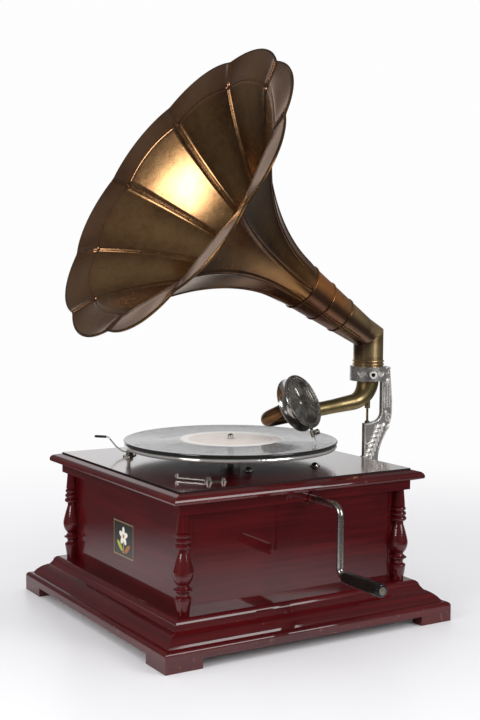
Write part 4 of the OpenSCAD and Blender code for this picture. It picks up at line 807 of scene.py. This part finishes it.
BRAKE_OUT, BRAKE_TURN, BRAKE_Z = 125.0, math.radians(226.9), 179.0
BRAKE = np.array([BRAKE_OUT * math.cos(BRAKE_TURN), BRAKE_OUT * math.sin(BRAKE_TURN), BRAKE_Z])
PAD_ARM, PAD_OUT = 12.0, 130.1
wire_turn = math.radians(216)
wire_dir = np.array([math.cos(wire_turn), math.sin(wire_turn), 0])
# distance from the pin and height, then for the sleeve distance and radius
wire = [(3.6, 1), (7, 1.1), (10, 1.7), (14, 3.8), (18.5, 6.6), (22.5, 10.4), (26.5, 14.6), (28.8, 16.6),
        (31, 17.6), (34, 17.7), (37, 17.6)]
sleeve = [(32, 1.1), (32.3, 1.4), (32.8, 1.5), (35, 1.55), (39, 1.6), (43, 1.6), (46.2, 1.55), (47.6, 1.4),
          (48.1, 1.0), (48.2, 0.4)]
wire_points = [BRAKE + d * wire_dir + [0, 0, h] for d, h in wire]
sleeve_points = [BRAKE + d * wire_dir + [0, 0, 17.7 - (d - 32) * 0.02] for d, _ in sleeve]
pad_turn = BRAKE_TURN - math.acos((PAD_OUT ** 2 - BRAKE_OUT ** 2 - PAD_ARM ** 2) / (2 * BRAKE_OUT * PAD_ARM))
pad_dir = np.array([math.cos(pad_turn), math.sin(pad_turn), 0])
hub = lathe([(2.3, 0), (4.3, 0), (4.6, 0.3), (4.6, 1.7), (4.3, 2), (2.3, 2)], BRAKE, UP, 48, True)
side = np.array([-pad_dir[1], pad_dir[0], 0])
flat = [BRAKE + d * pad_dir + w * side + [0, 0, h] for h in (0.2, 1.8) for d, w in
        ((4, -2.2), (12, -2.4), (13.6, -1.8), (14.4, 0), (13.6, 1.8), (12, 2.4), (4, 2.2))]
flat_faces = [list(range(7)), list(range(7, 14))] + grid_faces(2, 7)
post = lathe([(0.01, 1), (2, 1), (2, 16.5), (1.6, 16.9), (0.01, 16.9)], BRAKE + PAD_ARM * pad_dir, UP, 32)
lever = joined(sweep(wire_points, [0.85] * len(wire), 16, UP), hub, (flat, flat_faces), post)
piece("brake_wire", *lever, "nickel", "brake", "nickel", ["brake_lever"])
piece("brake_sleeve", *sweep(sleeve_points, [r for _, r in sleeve], 20, UP), "enamel", "brake",
      "black_enamel")

# Record: rounded rim, plain border, grooved band and run-out

groove_top = RECORD_TOP - 0.12
record = [(3.7, RECORD_UNDER), (126.2, RECORD_UNDER)]
record += arc((126.2, (RECORD_UNDER + RECORD_TOP) / 2), 1.1, -80, 80, 9)
record += [(125.4, RECORD_TOP), (124.2, groove_top), (64, groove_top), (62.4, RECORD_TOP), (3.7, RECORD_TOP)]
piece("record_disc", *lathe(record, (0, 0, 0), UP, 200, True), "shellac", "turntable", "shellac", ["record"])

# Small repeated forms: beads and knurls round a circle


class Ring(Finish):
    """Geometry nodes that set copies of a bead or a bar evenly round a circle, each facing outwards."""

    INPUTS = {"Count": "Int", "Radius": "Float", "Size": "Vector", "Round": "Bool", "Material": "Material"}

    def __init__(self, name):
        self.tree = bpy.data.node_groups.new(name, "GeometryNodeTree")
        face = self.tree.interface
        self.sockets = {key: face.new_socket(key, in_out="INPUT", socket_type="NodeSocket" + kind)
                        for key, kind in self.INPUTS.items()}
        face.new_socket("Geometry", in_out="OUTPUT", socket_type="NodeSocketGeometry")
        entry = self.tree.nodes.new("NodeGroupInput")
        given = {key: Value(self, entry.outputs[key]) for key in self.INPUTS}
        circle = self.node("GeometryNodeMeshCircle", (), {
            "Vertices": given["Count"], "Radius": given["Radius"]})
        bead = self.node("GeometryNodeMeshIcoSphere", (), {"Radius": 0.5, "Subdivisions": 2})
        bar = self.node("GeometryNodeMeshCube")
        form = self.node("GeometryNodeSwitch", {"input_type": "GEOMETRY"},
                         {"Switch": given["Round"], "False": bar, "True": bead})
        facing = self.node("FunctionNodeAlignRotationToVector", {"axis": "X"},
                           {"Vector": self.node("GeometryNodeInputPosition")})
        copies = self.node("GeometryNodeInstanceOnPoints", (), {
            "Points": circle, "Instance": form, "Rotation": facing, "Scale": given["Size"]})
        solid = self.node("GeometryNodeRealizeInstances", (), {"Geometry": copies})
        dressed = self.node("GeometryNodeSetMaterial", (), {"Geometry": solid, "Material": given["Material"]})
        self.put(self.tree.nodes.new("NodeGroupOutput").inputs[0], dressed)

    def make(self, name, at, axis, count, radius, size, ball, look, body, slot):
        """A plain mesh of the ring about an axis through a point; sizes in millimetres."""
        maker = bpy.data.objects.new(name, bpy.data.meshes.new(name))
        scene.collection.objects.link(maker)
        ring = maker.modifiers.new("ring", "NODES")
        ring.node_group = self.tree
        for key, value in {"Count": count, "Radius": radius / 1000, "Size": [s / 1000 for s in size],
                           "Round": ball, "Material": finish[look]}.items():
            ring[self.sockets[key].identifier] = value
        mesh = bpy.data.meshes.new_from_object(maker.evaluated_get(bpy.context.evaluated_depsgraph_get()))
        bpy.data.objects.remove(maker)
        axis = unit(axis)
        first, second = across(axis)
        mesh.transform(Matrix((*zip(first, second, axis, row(at)), (0, 0, 0, 1))))
        mesh.shade_smooth()
        mesh.set_sharp_from_angle(angle=math.radians(40))
        mesh.name = name
        made = bpy.data.objects.new(name, mesh)
        scene.collection.objects.link(made)
        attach(made, body)


ring_of = Ring("ring_of_forms")

# Sound box: a plated drum with raised edges, a dark front ring with beads, and a rosette in low relief

drum = [(7, -15), (31.2, -15), (32.4, -14.7), (33.0, -14.0), (33.1, -13.2), (32.6, -12.6), (32.3, -12.2),
        (32.3, -3.8), (32.7, -3.3), (33.2, -2.9), (BOX_R, -2.3), (BOX_R, -0.9), (33.2, -0.3), (32.8, 0.0),
        (32.4, -0.1)]
piece("sound_box_drum", *lathe(drum, BOX_FACE, BOX_Z, 144), "chrome", "sound_box", "nickel",
      ["sound_box_shell"], sharp=50)


def rosette(r, a):
    """Height of the sound box's front at a radius and an angle: a flat ring, a slope and a sunk field."""
    ring_r, field_r, deep = 27.4, 25.6, 2.6
    if r > ring_r:
        return -0.1 - 0.4 * math.exp(-((r - 31.6) / 0.3) ** 2)
    if r > field_r:
        s = (r - field_r) / (ring_r - field_r)
        return -deep + (deep - 0.1) * s * s * (3 - 2 * s)
    h = -deep + 0.5 * math.exp(-((r - 23.8) / 0.5) ** 2)
    if 6 < r < 22.5:
        h += 1.3 * max(0, math.cos(6 * a)) ** 0.6 * math.sin(math.pi * (r - 6) / 16.5) ** 0.7
    if 12 < r < 23:
        h += 0.9 * max(0, -math.cos(6 * a)) ** 0.8 * math.sin(math.pi * (r - 12) / 11)
    if r < 5:
        h += 1.5 * math.sqrt(1 - (r / 5) ** 2)
    return h


front_r = [*np.linspace(0.05, 25.4, 52), 25.8, 26.2, 26.6, 27.0, 27.4, *np.linspace(28, 32.6, 24)]
front_turns = np.linspace(0, 2 * math.pi, 216, endpoint=False)
front = [BOX_FACE + r * (math.cos(a) * BOX_X + math.sin(a) * BOX_Y) + rosette(r, a) * BOX_Z
         for r in front_r for a in front_turns]
piece("sound_box_front", front, grid_faces(len(front_r), len(front_turns)), "relief_nickel", "sound_box",
      "dark_nickel", ["sound_box_lid"], sharp=60)
ring_of.make("sound_box_beads", BOX_FACE + 0.1 * BOX_Z, BOX_Z, 84, 29.2, (1.5, 1.5, 1.3), True, "nickel",
             "sound_box", "nickel")

# Thumb screws: dished heads with knurled edges

needle_screw_at = BOX_FACE + (BOX_R + 6) * BOX_X - 4.2 * BOX_Z
thumb = [(0.01, 1.2), (1.2, 1.2), (1.2, 3.6), (2, 3.6), (2, 5.0), (2.8, 5.0), (3.2, 5.3), (3.2, 7.5),
         (3.0, 7.9), (2.5, 8.0), (2.0, 7.4), (1.6, 7.1), (0.01, 7.0)]
piece("needle_thumb_screw", *lathe(thumb, needle_screw_at, BOX_Z, 48), "nickel", "needle_clamp", "nickel",
      ["needle_screw"])
ring_of.make("needle_screw_knurl", needle_screw_at + 6.4 * BOX_Z, BOX_Z, 32, 3.2, (0.4, 0.3, 2.0), False,
             "nickel", "needle_clamp", "nickel")
clamp_out = np.array([math.cos(CLAMP_TURN), math.sin(CLAMP_TURN), 0])
clamp_at = np.array([0, PIVOT_Y, CLAMP_Z])
head = [(0.01, 19.4), (2, 19.4), (2, 26.3), (4.1, 26.3), (4.7, 26.6), (4.9, 27.2), (4.9, 30.0), (4.7, 30.8),
        (4.2, 31.2), (3.6, 31.3), (2.9, 30.9), (2.5, 30.2), (2.4, 28.4), (0.01, 28.2)]
socket = [(0.01, 28.4), (2.3, 28.5), (2.42, 29.6)]
piece("clamp_thumb_screw", *lathe(head, clamp_at, clamp_out, 64), "bright_nickel", "horn_clamp", "nickel",
      ["horn_clamp_screw"], sharp=50)
piece("clamp_screw_socket", *lathe(socket, clamp_at, clamp_out, 40), "enamel", "horn_clamp", "black_enamel")
ring_of.make("clamp_screw_knurl", clamp_at + 28.6 * clamp_out, clamp_out, 44, 4.85, (0.5, 0.35, 2.4), False,
             "nickel", "horn_clamp", "nickel")

# Plated band with raised edges round the bracket's collar

band = [(22.6, 263.2), (23.0, 263.4), (23.0, 265.4), (22.75, 265.8), (22.75, 277.2), (23.0, 277.6),
        (23.0, 279.6), (22.6, 279.8)]
piece("clamp_band", *lathe(band, PIVOT, UP), "satin_nickel", "cabinet", "nickel")

# Bracket: raised lines, flutes, a boss, a scroll and leaves cast on both sides, and leaves by the clamp screw


def bowed(p, q, rise, steps=9):
    """Points of a shallow arc from p to q that stands out to the right by rise."""
    p, q = np.array(p, float), np.array(q, float)
    side = unit([q[1] - p[1], p[0] - q[0]])
    return [p + (q - p) * s + side * rise * 4 * s * (1 - s) for s in np.linspace(0, 1, steps)]


def inside_of(path, by):
    """A path moved to its right by some millimetres."""
    path = np.array(path, float)
    run = np.gradient(path, axis=0)
    run /= np.linalg.norm(run, axis=1)[:, None]
    return path + by * np.stack([run[:, 1], -run[:, 0]], axis=1)


def leaf(at, along, out, length, width, height):
    """A pointed leaf with a midrib, standing out from a face."""
    side = np.cross(out, along)
    points = []
    for s in np.linspace(0.02, 0.98, 11):
        wide = math.sin(math.pi * s ** 0.8)
        for w in np.linspace(-1, 1, 9):
            rib = 0.35 * math.exp(-(w / 0.16) ** 2)
            points.append(at + s * length * along + w * wide * width / 2 * side
                          + (height * (1 - w * w) ** 0.6 * wide ** 0.6 - rib * wide * height) * out)
    return points, grid_faces(11, 9, round_columns=False)


# Paths on a cheek, as distance behind the rear panel and height
CHEEK = 2.2
front_edge = bowed((39.5, 143.4), (59.3, 165.4), -4) + [(59.3, 186), (59.3, 206)]
ledge = [(60.6, 207), (69, 207)] + bowed((74.7, 208.4), (86.7, 218.6), 2.8) + [(86.7, 240), (86.7, 260)]
back_edge = bowed((100.3, 271), (103.7, 235), -0.4) + bowed((103.7, 219), (94.1, 192.3), -1.9) + bowed(
    (93.5, 191), (83.1, 167.4), 1.2)
field_edge = bowed((60.8, 183), (66, 180), 0.6) + bowed((72, 186), (76.4, 204), 1.2)
spiral = [(95.2 + (6 - 0.75 * a) * math.cos(a + 0.6), 272.4 + (6 - 0.75 * a) * math.sin(a + 0.6))
          for a in np.linspace(0, 7, 40)]
boss_d, boss_z = 97.4, 212.4
boss = [(boss_d + 4.4 * math.cos(a), boss_z + 4.4 * math.sin(a)) for a in np.linspace(0, 6.28, 30)]
lines = [(inside_of(front_edge, 1.3), 0.9), (inside_of(ledge, 1.3), 0.9), (inside_of(back_edge, 1.3), 0.9),
         (field_edge, 0.9), (spiral, 1.0), (boss, 1.1)]
flutes = ((91, 252), (95.2, 262), (99.2, 256))
lines += [([(d, z) for z in np.linspace(225, top, 12)], 1.3) for d, top in flutes]
# leaves: place, turn in degrees and length
growth = [(86 - 20 * s, 204 - 42 * s, -113 + turn, 11.5) for s in np.linspace(0, 1, 8) for turn in (-46, 38)]
growth += [(95.2, 264, -70, 9), (95.2, 264, -110, 9), (92, 222, -60, 9), (99, 205, -115, 12),
           (93, 206, -140, 11)]
by_screw = [(19, 50), (26, -50), (35, 130), (42, -130), (-19, 130), (-26, -130), (-35, 50), (-42, -50)]
relief = []
for cheek in (1, -1):
    for path, thick in lines:
        relief.append(sweep([(CHEEK * cheek, PANEL_AT + d, z) for d, z in path], [thick] * len(path), 10))
    for d, z, turned, long in growth:
        run = np.array([0, math.cos(math.radians(turned)), math.sin(math.radians(turned))])
        at = np.array([CHEEK * cheek, PANEL_AT + d, z])
        relief.append(leaf(at, run, np.array([cheek, 0, 0]), long, 5.6, 1.7))
    dome = [(0.01, 1.9), (1.0, 1.7), (1.9, 1.1), (2.3, 0.2), (2.4, -0.3)]
    relief.append(lathe(dome, (CHEEK * cheek, PANEL_AT + boss_d, boss_z), (cheek, 0, 0), 24))
for turned, slope in np.radians(by_screw):
    a = CLAMP_TURN + turned
    out = np.array([math.cos(a), math.sin(a), 0])
    run = np.array([-out[1] * math.cos(slope), out[0] * math.cos(slope), math.sin(slope)])
    relief.append(leaf(clamp_at + COLLAR_R * out - 4 * run, run, out, 9.5, 3.4, 1.6))
piece("bracket_relief", *joined(*relief), "cast_nickel", "cabinet", "nickel", sharp=55)

# Folded seam along the neck, in line with a seam of the bell, and a dome nut on the arm's pivot

seam_turn = PETAL_TURN + 2 * math.pi * 4 / PETALS
seam = []
for side in (-1.9, 1.9):
    line = []
    for s in np.linspace(0.16, 0.995, 24):
        r = ELBOW_R + (NECK_R - ELBOW_R) * s + 0.1
        a = seam_turn + side / r
        out = math.cos(a) * HORN_UP + math.sin(a) * HORN_SIDE
        line.append(ELBOW + s * NECK_L * HORN_AXIS + r * out)
    seam.append(sweep(line, [0.6] * len(line), 10))
piece("neck_seam", *joined(*seam), "rim_bronze", "horn", "bronzed_sheet")
nut = [(1.6, 207), (3.0, 207), (3.3, 207.3), (3.3, 208.6), (2.9, 209.5), (2.2, 210), (1.6, 210)]
piece("pivot_dome_nut", *lathe(nut, PIVOT, UP, 40, True), "dark_nickel", "cabinet", "nickel", ["pivot_nut"])

# Corner stiles behind the turned columns, and the domed end of the crank's grip

inner, outer = 130.0, 139.3
outline = [(inner, inner), (outer, inner)] + arc((outer - 1, outer - 1), 1, 0, 90, 6) + [(inner, outer)]
levels = (BASE_TOP - 1, 100, 150.8)
stiles = []
for sx, sy in ((1, 1), (1, -1), (-1, 1), (-1, -1)):
    points = [(sx * x, sy * y, z) for z in levels for x, y in outline]
    stiles.append((points, grid_faces(len(levels), len(outline))))
piece("corner_stiles", *joined(*stiles), "lacquer_z", "cabinet", "lacquered_wood")
cap = [(6.3, 272.6), (6.9, 272.7), (6.8, 273.4), (6.3, 273.9), (5.4, 274.2), (4.4, 274.4), (1.9, 274.5),
       (1.7, 274.3)]
piece("grip_end_cap", *lathe(cap, GRIP_AT, ALONG_X, 48), "grip", "grip", "black_grip", sharp=60)
pin = [(1.7, 274.2), (1.6, 274.4), (1.0, 274.6), (0.01, 274.7)]
piece("grip_pin_end", *lathe(pin, GRIP_AT, ALONG_X, 32), "brass", "crank", "brass")

# Camera at the photograph's angle, and two softboxes

CAMERA_AT = (1.17663, -0.76235, 0.40771)
turn, tip, roll = math.radians(58.465), math.radians(4.536), math.radians(0.412)
back = Vector((math.sin(turn) * math.cos(tip), -math.cos(turn) * math.cos(tip), math.sin(tip)))
right = Vector((math.cos(turn), math.sin(turn), 0))
up = back.cross(right)
right, up = right * math.cos(roll) + up * math.sin(roll), up * math.cos(roll) - right * math.sin(roll)
lens = bpy.data.cameras.new("camera")
lens.lens, lens.sensor_width, lens.sensor_fit = 60.11, 36, "AUTO"
camera = bpy.data.objects.new("camera", lens)
camera.matrix_world = Matrix((*zip(right, up, back, CAMERA_AT), (0, 0, 0, 1)))
scene.collection.objects.link(camera)
scene.camera = camera


def soft_light(name, at, aim, width, height, watts, colour=(1, 1, 1)):
    """A softbox at a point, facing another, in metres."""
    lamp = bpy.data.lights.new(name, "AREA")
    lamp.shape, lamp.size, lamp.size_y, lamp.energy, lamp.color = "RECTANGLE", width, height, watts, colour
    made = bpy.data.objects.new(name, lamp)
    made.location = at
    made.rotation_mode = "QUATERNION"
    made.rotation_quaternion = (Vector(aim) - Vector(at)).to_track_quat("-Z", "Y")
    scene.collection.objects.link(made)


soft_light("left_softbox", (0.43, -1.62, 0.80), (-0.14, -0.03, 0.45), 0.55, 0.48, 9, (1, 0.98, 0.95))
soft_light("right_softbox", (1.21, 0.58, 0.72), (0.0, 0.1, 0.33), 0.5, 0.62, 7)

# Studio: a white backdrop behind the object, a dim room round the rest, and plain fill on the object

WHITE = (0.985, 0.985, 0.99, 1)
ROOM, FILL = 0.16, 0.97
FLOOR_R = 1.5


class Sky(Finish):
    """The studio's surroundings, made of the same kind of nodes as a finish."""

    def __init__(self, name):
        world = bpy.data.worlds.new(name)
        world.use_nodes = True
        self.tree = world.node_tree
        self.shader = self.tree.nodes["Background"]
        scene.world = world


sky = Sky("studio")
x, y, z = sky.parts(sky.node("ShaderNodeTexCoord"))
left = turn + math.radians(13)
behind = (y * math.cos(left) - x * math.sin(left)).between(0.85, 0.97) * z.between(0.62, 0.34)
white = sky.node("ShaderNodeLightPath", output="Is Camera Ray")
mirror = sky.node("ShaderNodeLightPath", output="Is Glossy Ray").most(
    sky.node("ShaderNodeLightPath", output="Is Transmission Ray"))
room = ROOM * (0.45 + 0.55 * z.between(-0.06, 0.2)) * (1 - behind) + behind
sky.set({"Color": WHITE, "Strength": white + (1 - white) * (mirror * room + (1 - mirror) * FILL)})

floor_mesh = bpy.data.meshes.new("floor")
floor_turns = np.linspace(0, 2 * math.pi, 96, False)
floor_mesh.from_pydata([(FLOOR_R * math.cos(a), FLOOR_R * math.sin(a), 0) for a in floor_turns], [],
                       [tuple(range(len(floor_turns)))])
floor = bpy.data.objects.new("floor", floor_mesh)
scene.collection.objects.link(floor)
f = Finish("pale_floor", {"Base Color": (0.9, 0.9, 0.925, 1), "Roughness": 0.34, "Specular IOR Level": 0.35})
x, y, _ = f.parts(f.place())
out = (x * x + y * y).root()
eye = f.node("ShaderNodeLightPath", output="Is Camera Ray")
gloss = f.node("ShaderNodeLightPath", output="Is Glossy Ray")
glow = f.node("ShaderNodeEmission", (), {"Color": WHITE, "Strength": 1.0})
clear = f.node("ShaderNodeBsdfTransparent")
plain = Value(f, f.shader.outputs[0])
near = f.node("ShaderNodeMixShader", (), {0: out.between(300, 620) * gloss, 1: plain, 2: clear})
both = f.node("ShaderNodeMixShader", (), {0: out.between(380, 1200) * eye, 1: near, 2: glow})
f.put(f.tree.nodes["Material Output"].inputs["Surface"], both)
floor_mesh.materials.append(f.material)
